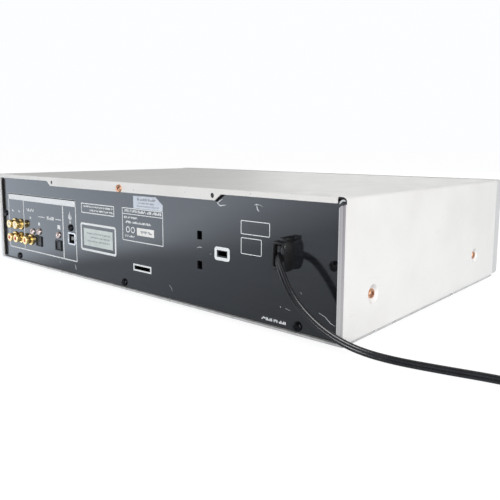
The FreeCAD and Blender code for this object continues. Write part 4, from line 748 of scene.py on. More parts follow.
def circuit_board(name, top, letter):
    """Green lacquer with tracks up to a height along one axis, and black chip plastic past it."""
    board = Finish(name, shade(28, 92, 48), 0.38)
    tracks = board.add("TexBrick", {"Vector": board.place(), "Scale": 160.0, "Mortar Size": 0.09,
                                    "Color1": (*shade(24, 84, 44), 1.0),
                                    "Color2": (*shade(30, 98, 52), 1.0),
                                    "Mortar": (*shade(62, 132, 74), 1.0)})
    speck = board.ramp(board.noise(1.4, 2.0), (0.66, 0.0), (0.68, 1.0))
    soldered = board.mix(speck, tracks.outputs["Color"], shade(172, 174, 170))
    board.feed("Base Color", board.mix(beyond(board, letter, top, 0.1), soldered, shade(26, 26, 28)))
    board.vary("Roughness", 3, 2.0, (0.3, 0.3), (0.7, 0.5))
    board.bump(tracks.outputs["Fac"], 0.2, 0.0001)
    return board


main_green = circuit_board("main_board_green", BOARD_TOP, "Z")
dress(main_green, "main_board", "power_board")
dress(circuit_board("front_board_green", NO_CHIPS, "Z"), "front_board")


def layered(name, first, second, letter, layers_per_mm, roughness, metallic):
    """Thin layers along one axis, as stacked sheets or the turns of a winding."""
    pile = Finish(name, first, roughness, metallic=metallic)
    wave = pile.math("SINE", pile.math("MULTIPLY", pile.axis(letter), 2000 * math.pi * layers_per_mm))
    share = pile.math("MULTIPLY_ADD", wave, 0.5, 0.5)
    pile.feed("Base Color", pile.mix(share, first, second))
    pile.vary("Roughness", 4, 3.0, (0.3, roughness - 0.1), (0.7, roughness + 0.15))
    pile.bump(share, 0.4, 0.0003)
    return pile


core_iron = layered("core_iron", shade(96, 94, 92), shade(58, 56, 55), "Y", 1.0, 0.45, 0.8)
dress(core_iron, "transformer_core")
coil_wire = layered("coil_wire", shade(176, 104, 62), shade(120, 62, 38), "Z", 1.6, 0.35, 0.5)
dress(coil_wire, "transformer_coil")
sleeve = Finish("can_sleeve", shade(28, 34, 58), 0.35)
stripe = sleeve.add("TexGradient", {"Vector": sleeve.place(stretch=(0.024, 1.0, 1.0))}).outputs["Fac"]
can_top = beyond(sleeve, "Z", BOARD_TOP + CAN_HEIGHT, 0.3)
sleeve.feed("Base Color", sleeve.mix(can_top, sleeve.ramp(stripe, (0.45, shade(24, 30, 54)),
                                                          (0.55, shade(34, 42, 70))), shade(196, 196, 198)))
sleeve.vary("Roughness", 5, 2.0, (0.3, 0.26), (0.7, 0.44))
dress(sleeve, "capacitors")

# %% [markdown]
# Around each phono socket the moulding is black, but the round core in the middle is coloured to tell the
# channels apart: white above, red below and orange for the digital one. Core and moulding are one solid,
# so the finish asks how far back a point lies and how high it is.

# %% Phono socket mouldings
PANEL_FACE = 136.5
ROW_DIVIDE = 37.0
CORE_REACH = 2.1


def socket_moulding(name, upper, lower, places):
    """Black behind the panel, and in front of it coloured cores with a gold rim."""
    moulding = Finish(name, lower, 0.4)
    above = beyond(moulding, "Z", ROW_DIVIDE, 0.1)
    nearest = 1.0
    for x, z in places:
        spot = moulding.place(centre=(x * MM, 0.0, z * MM), stretch=(1.0, 1000.0, 1.0))
        away = moulding.add("VectorMath", {0: spot}, operation="LENGTH").outputs["Value"]
        nearest = moulding.math("MINIMUM", away, nearest)
    rim = moulding.math("GREATER_THAN", nearest, CORE_REACH * MM)
    core = moulding.mix(rim, moulding.mix(above, lower, upper), shade(250, 228, 184))
    cloudy = moulding.mix(moulding.ramp(moulding.noise(1.5, 3.0), (0.4, 0.0), (0.8, 0.3)), core,
                          shade(70, 60, 50))
    outside = beyond(moulding, "Y", PANEL_FACE + 0.2, 0.2)
    moulding.feed("Base Color", moulding.mix(outside, shade(28, 28, 30), cloudy))
    moulding.feed("Metallic", moulding.math("MULTIPLY", moulding.math("MULTIPLY", outside, rim), 0.5))
    moulding.vary("Roughness", 2, 2.0, (0.3, 0.32), (0.7, 0.5))
    moulding.pebble(0.4, 0.08, 0.0002)
    return moulding


ANALOGUE_JACKS = [(186.4, 44.0), (173.8, 44.0), (186.4, 30.0), (173.8, 30.0)]
DIGITAL_JACKS = [(154.3, 30.0)]
ORANGE = shade(234, 140, 66)
phono_moulding = socket_moulding("phono_moulding", shade(246, 240, 224), shade(214, 96, 66), ANALOGUE_JACKS)
digital_moulding = socket_moulding("digital_moulding", ORANGE, ORANGE, DIGITAL_JACKS)
dress(phono_moulding, "rca_jack_block")
dress(digital_moulding, "coaxial_jack")

# %% [markdown]
# The print on the panel is a thin layer of white ink, so each line is a flat face, extruded until it
# stands a twentieth of a millimetre proud of the lacquer. Rows of small marks stand in for lettering:
# they have its size, spacing and uneven rhythm, and say nothing. Frames and stickers have rounded corners.


# %% Shapes for thin layers
def rounded_rectangle(x0, x1, z0, z1, radius, steps=5):
    """Corners of an upright rectangle, anticlockwise, each rounded in a few steps."""
    corners = []
    for x, z, start in ((x1 - radius, z1 - radius, 0), (x0 + radius, z1 - radius, 90),
                        (x0 + radius, z0 + radius, 180), (x1 - radius, z0 + radius, 270)):
        for step in range(steps + 1):
            angle = math.radians(start + 90 * step / steps)
            corners.append((x + radius * math.cos(angle), z + radius * math.sin(angle)))
    return corners


def round_outline(x, z, reach, steps):
    """Corners of an upright circle."""
    angles = [2 * math.pi * i / steps for i in range(steps)]
    return [(x + reach * math.cos(angle), z + reach * math.sin(angle)) for angle in angles]


def thicken(bm, faces, reach):
    """Extrude flat faces along a vector, so that they become closed blocks."""
    pulled = bmesh.ops.extrude_face_region(bm, geom=faces)["geom"]
    corners = [part for part in pulled if isinstance(part, bmesh.types.BMVert)]
    bmesh.ops.translate(bm, vec=reach, verts=corners)


def flat_shape(bm, corners, y, thick):
    """A filled outline of (x, z) corners that stands thick millimetres out from the plane y."""
    face = bm.faces.new([bm.verts.new(mm(x, y, z)) for x, z in corners])
    thicken(bm, [face], mm(0.0, thick, 0.0))


def bar(bm, x0, x1, z0, z1, y, thick):
    """A flat rectangle between two X and two Z."""
    flat_shape(bm, [(x0, z0), (x1, z0), (x1, z1), (x0, z1)], y, thick)


def flat_frame(bm, outer, inner, y, thick):
    """A flat line between two outlines with as many corners each."""
    first, second = ([bm.verts.new(mm(x, y, z)) for x, z in corners] for corners in (outer, inner))
    faces = [bm.faces.new((first[i - 1], first[i], second[i], second[i - 1])) for i in range(len(outer))]
    thicken(bm, faces, mm(0.0, thick, 0.0))


def framed(bm, x0, x1, z0, z1, line, radius, y, thick):
    """A rectangle drawn as a line of some width, with rounded corners."""
    outer = rounded_rectangle(x0, x1, z0, z1, radius)
    inner = rounded_rectangle(x0 + line, x1 - line, z0 + line, z1 - line, max(radius - line, 0.05))
    flat_frame(bm, outer, inner, y, thick)


def word_marks(bm, x0, x1, z, height, y, thick, chance):
    """A row of small marks between two X, in uneven groups, that stands in for a printed line."""
    x = x0
    step = 0.62 * height
    while x < x1 - step:
        for _ in range(chance.randint(3, 8)):
            if x > x1 - step:
                break
            wide = step * chance.uniform(0.5, 0.82)
            kind = chance.random()
            low = z if kind > 0.2 else z + height * 0.45
            high = z + height if kind < 0.8 else z + height * 0.6
            bar(bm, x, x + wide, low, high, y, thick)
            x += step
        x += step * 0.8
    return bm


def stroke(bm, points, width, y, thick):
    """A flat line along (x, z) points that narrows to its ends, such as a scratch."""
    count = len(points)
    left = []
    right = []
    for i, (x, z) in enumerate(points):
        x0, z0 = points[max(i - 1, 0)]
        x1, z1 = points[min(i + 1, count - 1)]
        reach = math.hypot(x1 - x0, z1 - z0)
        half = width / 2 * (0.35 if i in (0, count - 1) else 1.0)
        offset = (-(z1 - z0) / reach * half, (x1 - x0) / reach * half)
        left.append((x + offset[0], z + offset[1]))
        right.append((x - offset[0], z - offset[1]))
    flat_shape(bm, right + left[::-1], y, thick)


# %% [markdown]
# Each list of the print gives places in millimetres: left, right, bottom and top, and for a frame the
# width of its line and the radius of its corners. A row of marks has left, right, foot and height. A
# small sign of three strokes stands above the data socket. Ink wears, so patches of it are darker.

# %% Print on the rear panel
INK = 0.05
chance = random.Random(11)


def ink_finish(name, colour, worn):
    """Printed ink with worn patches."""
    ink = Finish(name, colour, 0.55)
    patchy = ink.ramp(ink.noise(0.9, 5.0), (0.30, worn), (0.42, colour))
    ink.feed("Base Color", patchy)
    ink.vary("Roughness", 2, 2.0, (0.3, 0.42), (0.7, 0.62))
    ink.pebble(0.3, 0.08, 0.0001)
    return ink


rear_ink = ink_finish("rear_ink", shade(233, 236, 238), shade(176, 180, 184))
print_mesh = bmesh.new()
FRAMES = [(71.2, 199.8, 17.9, 75.2, 1.0, 1.0), (12.6, 62, 64.8, 73.8, 0.8, 0.5),
          (10.7, 64, 30.8, 56, 1.9, 2.4), (-50.5, 1.4, 46.5, 74, 0.7, 0.8),
          (-35.3, -12.3, 22.6, 28.4, 1.3, 0.3), (-121.0, -106.2, 44.0, 53.7, 2.3, 2.2),
          (-156.7, -131.3, 65.1, 74.6, 0.5, 1.0), (-149.8, -131.4, 51.5, 62.9, 0.5, 1.0)]
for drawn_frame in FRAMES:
    framed(print_mesh, *drawn_frame, PANEL_FACE, INK)
BARS = [(71.6, 199.4, 68.9, 75.0), (167.4, 168.4, 18.6, 69.2), (92.9, 94.3, 18.6, 69.2),
        (-50.2, 1.0, 68.6, 69.2), (97, 107, 54.4, 55.1), (127, 139, 54.4, 55.1),
        (98.6, 103.6, 45.6, 49.6), (136.2, 139.4, 45.8, 48.8)]
for drawn_bar in BARS:
    bar(print_mesh, *drawn_bar, PANEL_FACE, INK)
WORDS = [(189.5, 193.5, 56.0, 2.4), (176.0, 180.5, 56.0, 2.6), (148, 163, 58.6, 3.0),
         (153.5, 157, 51.0, 2.4), (110, 125, 53.2, 3.2), (14.5, 59.5, 70.2, 1.5), (14.5, 50.0, 67.0, 1.5),
         (-48.5, -0.5, 70.4, 2.2), (-18.5, -1.0, 65.2, 1.6), (-35.5, -2.0, 61.4, 1.8),
         (-14.5, -1.5, 49.8, 1.6), (-170.5, -149.0, 9.4, 1.9)]
for row in WORDS:
    word_marks(print_mesh, *row, PANEL_FACE, INK, chance)
DATA_SIGN = [([(81.4, 54.0), (81.5, 59.0), (81.5, 64.0)], 1.3),
             ([(81.6, 56.0), (83.6, 58.6), (83.6, 61.6)], 1.2),
             ([(81.4, 55.4), (79.4, 57.8), (79.4, 60.6)], 1.2),
             ([(81.4, 52.8), (81.4, 54.6), (81.4, 56.4)], 2.4)]
for points, width in DATA_SIGN:
    stroke(print_mesh, points, width, PANEL_FACE, INK)
for x in (-6.0, -12.5):
    framed(print_mesh, x - 2.6, x + 2.6, 53.4, 58.6, 0.8, 2.5, PANEL_FACE, INK)
show("rear_print", print_mesh, rear_ink)

# %% [markdown]
# Three stickers lie on the panel: a large silver one in the thick frame, a small white one in the rating
# frame, and a bluish one with a cut corner that overlaps that frame. Each is thin film with a slightly
# uneven surface, and the marks on the stickers are a separate layer of grey ink.

# %% Stickers
FILM = 0.12
MARKS = 0.03


def film_finish(name, colour, tint, roughness):
    """Thin film whose colour drifts towards a tint, with a slightly uneven surface."""
    film = Finish(name, colour, roughness)
    film.vary("Base Color", 6, 5.0, (0.3, tint), (0.65, colour))
    film.vary("Roughness", 3, 3.0, (0.3, roughness - 0.08), (0.7, roughness + 0.1))
    film.pebble(5, 0.2, 0.0004)
    return film


STICKERS = {"silver_sticker": ([(15.6, 35.6), (59.0, 35.6), (59.0, 51.2), (15.6, 51.2)],
                               film_finish("silver_film", shade(206, 213, 210), shade(188, 197, 193), 0.4)),
            "cut_sticker": ([(-50.2, 74.3), (-14.0, 74.3), (-14.0, 84.4), (-42.0, 84.6), (-50.4, 78.9)],
                            film_finish("blue_film", shade(212, 218, 227), shade(192, 201, 214), 0.5)),
            "small_sticker": (rounded_rectangle(-39.5, -18.0, 52.3, 58.5, 0.5),
                              film_finish("white_film", shade(240, 240, 238), shade(228, 228, 226), 0.5))}
for name, (corners, film) in STICKERS.items():
    film_mesh = bmesh.new()
    flat_shape(film_mesh, corners, PANEL_FACE, FILM)
    show(name, film_mesh, film)
grey_ink = ink_finish("grey_ink", shade(122, 127, 134), shade(164, 169, 174))
marks_mesh = bmesh.new()
STICKER_WORDS = [(20.0, 55.0, 46.4, 1.3), (20.0, 50.0, 43.0, 1.3), (20.0, 54.0, 39.6, 1.3),
                 (-42.0, -18.0, 80.8, 1.9), (-40.0, -20.0, 78.2, 1.2), (-46.0, -18.0, 75.8, 1.0),
                 (-37.0, -21.0, 54.2, 2.2)]
for row in STICKER_WORDS:
    word_marks(marks_mesh, *row, PANEL_FACE + FILM, MARKS, chance)
show("sticker_marks", marks_mesh, grey_ink)

# %% [markdown]
# The panel was knocked a few times. Each scratch cut through the lacquer to bright metal and is a short
# narrow stroke with thin ends, so it is a thin layer like the print, in bare metal.

# %% Scratches
bare_metal = drawn_metal("bare_metal", shade(228, 230, 232), 0.4, (1.0, 1.0, 1.0))
bare_metal.set("Metallic", 0.3)
SCRATCHES = [([(-114.1, 87.8), (-111.2, 86.2), (-109.2, 84.7), (-111.7, 82.9), (-117.4, 83.8)], 0.8),
             ([(-143.4, 85.6), (-145.4, 86.1), (-147.3, 85.8)], 0.7),
             ([(-145.2, 85.8), (-146.0, 82.8), (-147.4, 81.5)], 0.9),
             ([(-147.6, 85.9), (-150.7, 85.1)], 0.4),
             ([(101.6, 15.0), (100.6, 13.2)], 0.6),
             ([(75.4, 15.2), (74.0, 12.1), (73.6, 10.6)], 0.7),
             ([(-88.2, 50.5), (-91.3, 51.3), (-93.4, 51.0)], 0.5),
             ([(-195.8, 22.5), (-200.5, 20.9), (-204.4, 17.7), (-208.0, 16.4)], 0.35),
             ([(-165.6, 20.7), (-166.2, 20.6), (-166.6, 20.6)], 0.5),
             ([(-170.0, 20.4), (-171.0, 20.2), (-174.6, 19.6)], 0.22),
             ([(-181.8, 33.0), (-183.0, 31.8)], 0.4),
             ([(-101.6, 47.6), (-102.6, 47.4)], 0.5),
             ([(-60.5, 13.0), (-59.2, 15.6), (-56.8, 17.6)], 0.3)]
scratch_mesh = bmesh.new()
for points, width in SCRATCHES:
    stroke(scratch_mesh, points, width, PANEL_FACE, MARKS)
show("panel_scratches", scratch_mesh, bare_metal)

# %% [markdown]
# The cover's rear lip has two round holes, and behind each one the inside is dark, so a black disc closes
# it from behind as painted shade. In each cut upper corner the bare edge of the folded sheet catches the
# light, and a thin bright arc of bare metal stands for it: partly the real edge and partly a painted
# highlight.

# %% Holes and cut corners of the cover
HOLE_X = 106.8
HOLE_Z = 90.0
HOLE_REACH = 1.86
DISC_SEAT = 138.35
DISC_THICK = 0.5
# Black discs behind the lip's holes: painted shade for the dark inside.
hole_mesh = bmesh.new()
for x in (-HOLE_X, HOLE_X):
    flat_shape(hole_mesh, round_outline(x, HOLE_Z, HOLE_REACH, 24), DISC_SEAT, DISC_THICK)
show("lip_hole_shade", hole_mesh, black_plastic)
# A bright arc of bare metal on each cut corner: the real bare edge, with a painted highlight where it
# catches the light.
NOTCH_ARC = [(210.4, 90.9), (211.0, 92.0), (212.1, 92.9), (213.2, 93.1), (214.2, 92.6)]
ARC_SEAT = 138.3
ARC_WIDTH = 0.9
ARC_THICK = 0.7
edge_mesh = bmesh.new()
for side in (-1, 1):
    stroke(edge_mesh, [(side * x, z) for x, z in NOTCH_ARC], ARC_WIDTH, ARC_SEAT, ARC_THICK)
show("notch_edge_highlights", edge_mesh, bare_metal)

# %% [markdown]
# Every screw has a domed head with a cross recess, and each is turned a little differently, as they end
# up in a real deck. A head is built from the cross outwards: the twelve corners of the cross, a circle of
# as many points, and rings that fall away to the rim. The screws stand where the frame has plain ones.
# The bottom of every recess is painted shade: a second, darker piece lies just above its floor.


# %% Screws
def outward(place, out):
    """The move that takes a shape built on Z to a place in millimetres, with Z along the direction out."""
    return Matrix.Translation(mm(*place)) @ Vector(out).to_track_quat("Z", "Y").to_matrix().to_4x4()


def cross_corners(arm, half, turn):
    """The twelve corners of a cross with arms of that reach and half width, turned by some degrees."""
    corners = []
    for quarter in range(4):
        for x, y in ((arm, -half), (arm, half), (half, half)):
            angle = math.radians(90 * quarter + turn)
            corners.append((x * math.cos(angle) - y * math.sin(angle),
                            x * math.sin(angle) + y * math.cos(angle)))
    return corners


def cross_screw(bm, place, out, radius, height, turn, spread=3):
    """A pan head with a cross recess: its seat is at the place and it stands along the direction out."""
    corners = cross_corners(radius * 0.62, radius * 0.13, turn)
    cross = []
    for i, (x, y) in enumerate(corners):
        nx, ny = corners[(i + 1) % 12]
        cross += [(x + (nx - x) * step / spread, y + (ny - y) * step / spread) for step in range(spread)]
    count = len(cross)

    def dome(x, y):
        return height * (1.0 - 0.34 * (x * x + y * y) / (radius * radius))

    def circle(reach, level):
        angles = [math.radians(turn - 12 + 360 * i / count) for i in range(count)]
        return [(reach * math.cos(a), reach * math.sin(a), level) for a in angles]

    floor_level = height * 0.25
    rings = [[(x * 0.72, y * 0.72, floor_level) for x, y in cross],
             [(x, y, dome(x, y)) for x, y in cross],
             circle(radius * 0.78, dome(radius * 0.78, 0.0)),
             circle(radius * 0.93, dome(radius * 0.95, 0.0)),
             circle(radius, height * 0.5), circle(radius, 0.0)]
    move = outward(place, out)
    loops = [[bm.verts.new(move @ (Vector(point) * MM)) for point in ring] for ring in rings]
    for inner, outer in zip(loops, loops[1:]):
        for i in range(count):
            bm.faces.new((inner[i], outer[i], outer[(i + 1) % count], inner[(i + 1) % count]))
    bm.faces.new(loops[0])
    bm.faces.new(list(reversed(loops[-1])))


def recess_floor(bm, place, out, radius, height, turn):
    """A dark cross of painted shade just above the floor of the recess."""
    move = outward(place, out)
    corners = cross_corners(radius * 0.46, radius * 0.11, turn)
    close_tube(bm, [[bm.verts.new(move @ (Vector((x, y, level)) * MM)) for x, y in corners]
                    for level in (height * 0.27, height * 0.62)])


# Painted shade for the bottoms of the cross recesses.
painted_recess_shade = moulded("painted_recess_shade", shade(30, 24, 22), 0.7)


def screw_set(name, node, finish, places, radius=3.2, height=1.9):
    """Screw heads at places with directions, instead of a node's plain ones."""
    heads = bmesh.new()
    floors = bmesh.new()
    for place, out in places:
        turn = chance.uniform(0, 90)
        cross_screw(heads, place, out, radius, height, turn)
        recess_floor(floors, place, out, radius, height, turn)
    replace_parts(show(name, heads, finish, smooth=40.0), node)
    show(name + "_recess", floors, painted_recess_shade)


BACK = (0, 1, 0)
SIDE_SCREWS = [((side * 213.0, y, SIDE_SCREW_Z), (side, 0, 0)) for side in (-1, 1) for y in SIDE_SCREW_Y]
screw_set("cover_screw_heads", "cover_screws", copper,
          SIDE_SCREWS + [((0.5, REAR_FACE, 89.6), BACK)])
screw_set("jack_screw_heads", "jack_screws", pink_zinc,
          [((x, PANEL_FACE, z), BACK) for x, z in ((150.6, 38.6), (137.8, 39.8), (102.0, 40.0))])
PANEL_SCREWS = [(179.9, 10.4), (0.5, 10.4), (-179.9, 10.4), (206.4, 53.2), (-206.4, 53.2), (80.6, 49.0)]
screw_set("panel_screw_heads", "rear_panel_screws", black_zinc,
          [((x, PANEL_FACE, z), BACK) for x, z in PANEL_SCREWS])
screw_set("foot_screw_heads", "foot_screws", bright_zinc,
          [((x, y, 2.2), (0, 0, -1)) for x in (-173, 173) for y in (-93.5, 97.5)])

# %% [markdown]
# A phono socket's shell is turned from brass and gold plated: a flat collar on the panel, a narrower
# barrel that reads dark between two bright rings, and a thick ring at the tip with rounded edges. A
# profile of radius and height is spun about the socket's axis. A thin cap closes the tip round the
# pin's hole and shows the coloured core.

# %% Phono socket shells
TURN_STEPS = 40


def turned_ring(bm, place, out, profile):
    """A closed profile of (radius, height) in millimetres, spun about an axis through the place."""
    move = outward(place, out)
    loop = [bm.verts.new(move @ (Vector((radius, 0.0, height)) * MM)) for radius, height in profile]
    edges = [bm.edges.new((a, b)) for a, b in zip(loop, loop[1:] + loop[:1])]
    bmesh.ops.spin(bm, geom=loop + edges, cent=mm(*place), axis=Vector(out), dvec=(0, 0, 0),
                   angle=2 * math.pi, steps=TURN_STEPS, use_merge=True, use_duplicate=False)


SHELL_PROFILE = [(3.1, 0.0), (5.3, 0.0), (5.3, 1.1), (5.0, 1.4), (4.1, 1.4), (3.75, 1.7), (3.75, 4.4),
                 (3.95, 4.8), (4.15, 5.0), (4.15, 6.9), (3.9, 7.35), (3.3, 7.35), (3.1, 7.1)]
CAP_PROFILE = [(0.9, 6.9), (3.3, 6.9), (3.3, 7.3), (3.1, 7.45), (1.2, 7.45), (0.9, 7.2)]


def turned_set(name, places, profile, finish):
    """The same turned ring on the panel at each (x, z), as one piece with the given finish."""
    bm = bmesh.new()
    for x, z in places:
        turned_ring(bm, (x, PANEL_FACE, z), BACK, profile)
    return show(name, bm, finish, smooth=30.0)


turned_set("phono_caps", ANALOGUE_JACKS, CAP_PROFILE, phono_moulding)
turned_set("digital_caps", DIGITAL_JACKS, CAP_PROFILE, digital_moulding)
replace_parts(turned_set("phono_shells", ANALOGUE_JACKS + DIGITAL_JACKS, SHELL_PROFILE, gold), "jack_shells")

# %% [markdown]
# The lead's gland is a black clip in the panel, with a tall mouth for the flat lead. A thick cheek with a
# well-rounded nose stands on the side where the lead leaves, a thin one on the other, and a lower slab
# joins them. Small blocks close the mouth above and below, fill its throat behind the lead, and make the
# ridge on top that locks the two halves.

# %% Gland
GLAND_MIDDLE = 56.0
GLAND_FACE = 146.5
CHEEK_SEAT = 133.0
BLOCK_SEAT = 137.0
NOSE_STEPS = 8


def nose_profile(front, half_height, radius):
    """Corners of (y, z) for a slab that is square at the panel and rounded at the front."""
    corners = [(CHEEK_SEAT, -half_height + 1.0), (CHEEK_SEAT, half_height - 1.0)]
    for z, start in ((half_height - radius, 90), (radius - half_height, 0)):
        for step in range(NOSE_STEPS + 1):
            angle = math.radians(start - 90 * step / NOSE_STEPS)
            corners.append((front - radius + radius * math.cos(angle), z + radius * math.sin(angle)))
    return corners


def soften(bm, edges, offset, segments):
    """A round bevel of some millimetres on these edges."""
    bmesh.ops.bevel(bm, geom=edges, offset=offset * MM, affect="EDGES", segments=segments, profile=0.5,
                    material=-1)


def cheek(bm, x0, x1, front, half_height, radius, edge):
    """A slab between two X with the nose profile and softened long edges."""
    profile = nose_profile(front, half_height, radius)
    ends = [[bm.verts.new(mm(x, y, GLAND_MIDDLE + z)) for y, z in profile] for x in (x0, x1)]
    count = len(ends[0])
    faces = [bm.faces.new(ends[0]), bm.faces.new(list(reversed(ends[1])))]
    for i in range(count):
        j = (i + 1) % count
        faces.append(bm.faces.new((ends[0][j], ends[0][i], ends[1][i], ends[1][j])))
    soften(bm, [side for face in faces[:2] for side in face.edges], edge, 3)


gland_mesh = bmesh.new()
cheek(gland_mesh, -167.1, -165.9, 145.6, 8.6, 3.0, 0.35)
cheek(gland_mesh, -176.5, -173.7, GLAND_FACE, 9.75, 4.4, 0.7)
cheek(gland_mesh, -174.0, -166.8, 141.2, 9.3, 3.0, 0.2)
BLOCKS = [(-174.2, -166.2, 145.4, 63.2, 65.0), (-174.2, -166.2, 145.4, 46.8, 49.2),
          (-173.9, -169.3, 144.6, 50.4, 62.6), (-176.4, -171.0, 144.6, 65.2, 67.8)]
for x0, x1, y1, z0, z1 in BLOCKS:
    middle = mm((x0 + x1) / 2, (BLOCK_SEAT + y1) / 2, (z0 + z1) / 2)
    size = Matrix.Diagonal((*mm(x1 - x0, y1 - BLOCK_SEAT, z1 - z0), 1.0))
    block = bmesh.ops.create_cube(gland_mesh, size=1.0, matrix=Matrix.Translation(middle) @ size)
    soften(gland_mesh, list({edge for vert in block["verts"] for edge in vert.link_edges}), 0.35, 2)
gland_plastic = moulded("gland_plastic", shade(24, 24, 25), 0.3, grain=0.6, depth=0.08)
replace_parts(show("lead_gland", gland_mesh, gland_plastic, smooth=40.0), "cord_gland")

# %% [markdown]
# The photograph doesn't show the front, so its print is plain: a thin dark line of marks beside each
# control and ticks round the two level knobs. All of it is ink a few hundredths of a millimetre thick.

# %% Print on the front
FRONT_FACE = -135.5
KEY_FACE = -136.4
RECORD_KNOB = (178.0, 62.0)
PHONES_KNOB = (-160.0, 28.0)
JOG_DIAL = (104.0, 66.0)
PHONES_SOCKET = (-192.0, 28.0)
TICK = 0.55
front_ink = ink_finish("front_ink", shade(52, 53, 56), shade(70, 71, 74))
front_print = bmesh.new()
FRONT_WORDS = [(-195.0, -177.0, 65.0, 1.4), (-168.5, -151.5, 62.0, 1.3), (-199.0, -185.0, 16.2, 1.3),
               (-168.0, -152.0, 13.6, 1.3), (31.0, 49.0, 84.4, 1.3), (83.0, 101.0, 39.8, 1.2),
               (110.0, 128.0, 39.8, 1.2), (137.0, 155.0, 39.8, 1.2), (83.0, 101.0, 11.6, 1.2),
               (110.0, 128.0, 11.6, 1.2), (137.0, 155.0, 11.6, 1.2), (170.0, 186.0, 15.6, 1.3),
               (168.0, 188.0, 82.4, 1.4), (94.0, 114.0, 84.0, 1.4), (-104.0, -66.0, 86.6, 1.7),
               (-104.0, -58.0, 22.6, 1.3), (20.0, 64.0, 22.6, 1.3)]
for row in FRONT_WORDS:
    word_marks(front_print, *row, FRONT_FACE, -INK, chance)
for (centre_x, centre_z), reach, count in ((RECORD_KNOB, 16.4, 11), (PHONES_KNOB, 9.0, 9)):
    for step in range(count):
        angle = math.radians(225 - 270 * step / (count - 1))
        ends = [(centre_x + r * math.cos(angle), centre_z + r * math.sin(angle))
                for r in (reach, reach + 0.9, reach + (2.4 if step % 5 == 0 else 1.7))]
        stroke(front_print, ends, TICK, FRONT_FACE, -INK)
for x in (-166.5, -160.0, -153.5):
    bar(front_print, x - 0.25, x + 0.25, 50.0, 51.4, FRONT_FACE, -INK)
bar(front_print, -104.0, 20.0, 89.6, 89.8, FRONT_FACE, -INK)
framed(front_print, 77.5, 160.5, 10.0, 43.0, 0.3, 2.0, FRONT_FACE, -INK)
show("front_print", front_print, front_ink)

# %% [markdown]
# The symbols are the ones that every player has: a triangle, two bars, a square. Each is a few corners
# about the middle of its key. The power and record keys have a ring with a stroke or a dot in it. A symbol
# rides on its own key, so it moves in when the key is pressed.


# %% Symbols on the keys
def pointing(x, z, size, way):
    """A triangle that points left, right or up."""
    half = size / 2
    turned = {"right": [(-half, -half), (half, 0.0), (-half, half)],
              "left": [(half, half), (-half, 0.0), (half, -half)],
              "up": [(-half, -half * 0.8), (half, -half * 0.8), (0.0, half * 0.8)]}[way]
    return [(x + u, z + v) for u, v in turned]


def upright(x, z, wide, tall):
    """An upright rectangle about a point."""
    return [(x - wide / 2, z - tall / 2), (x + wide / 2, z - tall / 2), (x + wide / 2, z + tall / 2),
            (x - wide / 2, z + tall / 2)]


SYMBOLS = {"play_button": [pointing(92.0, 33.0, 3.6, "right")],
           "pause_button": [upright(118.0, 33.0, 1.1, 3.4), upright(120.0, 33.0, 1.1, 3.4)],
           "stop_button": [upright(146.0, 33.0, 3.2, 3.2)],
           "back_button": [pointing(91.0, 20.0, 3.0, "left"), pointing(93.8, 20.0, 3.0, "left"),
                           upright(89.0, 20.0, 0.7, 3.0)],
           "forward_button": [pointing(117.2, 20.0, 3.0, "right"), pointing(120.0, 20.0, 3.0, "right"),
                              upright(121.9, 20.0, 0.7, 3.0)],
           "menu_button": [upright(146.0, 20.0 + lift, 4.4, 0.6) for lift in (-1.4, 0.0, 1.4)],
           "eject_button": [pointing(40.0, 77.8, 3.6, "up"), upright(40.0, 75.4, 3.6, 0.8)]}
for name, shapes in SYMBOLS.items():
    symbol_mesh = bmesh.new()
    for corners in shapes:
        flat_shape(symbol_mesh, corners, KEY_FACE, -INK)
    show(name.replace("_button", "_symbol"), symbol_mesh, front_ink, body=name)
pale_ink = ink_finish("pale_ink", shade(232, 230, 226), shade(210, 206, 200))
for name, x, z, reach in (("power_button", -186.0, 56.0, 2.2), ("record_button", 178.0, 26.5, 2.6)):
    symbol_mesh = bmesh.new()
    circle = round_outline(x, z, reach, 32)
    inner = [(x + (u - x) * 0.76, z + (v - z) * 0.76) for u, v in circle]
    flat_frame(symbol_mesh, circle, inner, KEY_FACE, -INK)
    if name == "power_button":
        flat_shape(symbol_mesh, upright(x, z + 1.6, 0.55, 2.8), KEY_FACE, -INK * 1.6)
    else:
        flat_shape(symbol_mesh, [(x + (u - x) * 0.5, z + (v - z) * 0.5) for u, v in circle], KEY_FACE, -INK)
    show(name.replace("_button", "_symbol"), symbol_mesh, front_ink if name == "power_button" else pale_ink,
         body=name)

# %% [markdown]
# A finger needs grip on a turned knob. The rim of each knob has fine straight ridges, cut parallel to its
# axis, and a notch of dark paint on the face shows where it points. Both ride on the knob, so they turn
# with it. The list of grips gives each knob's place and radius, the front of its ridges and their number.
# The headphone socket has a plated ring, as its plug scrapes there.

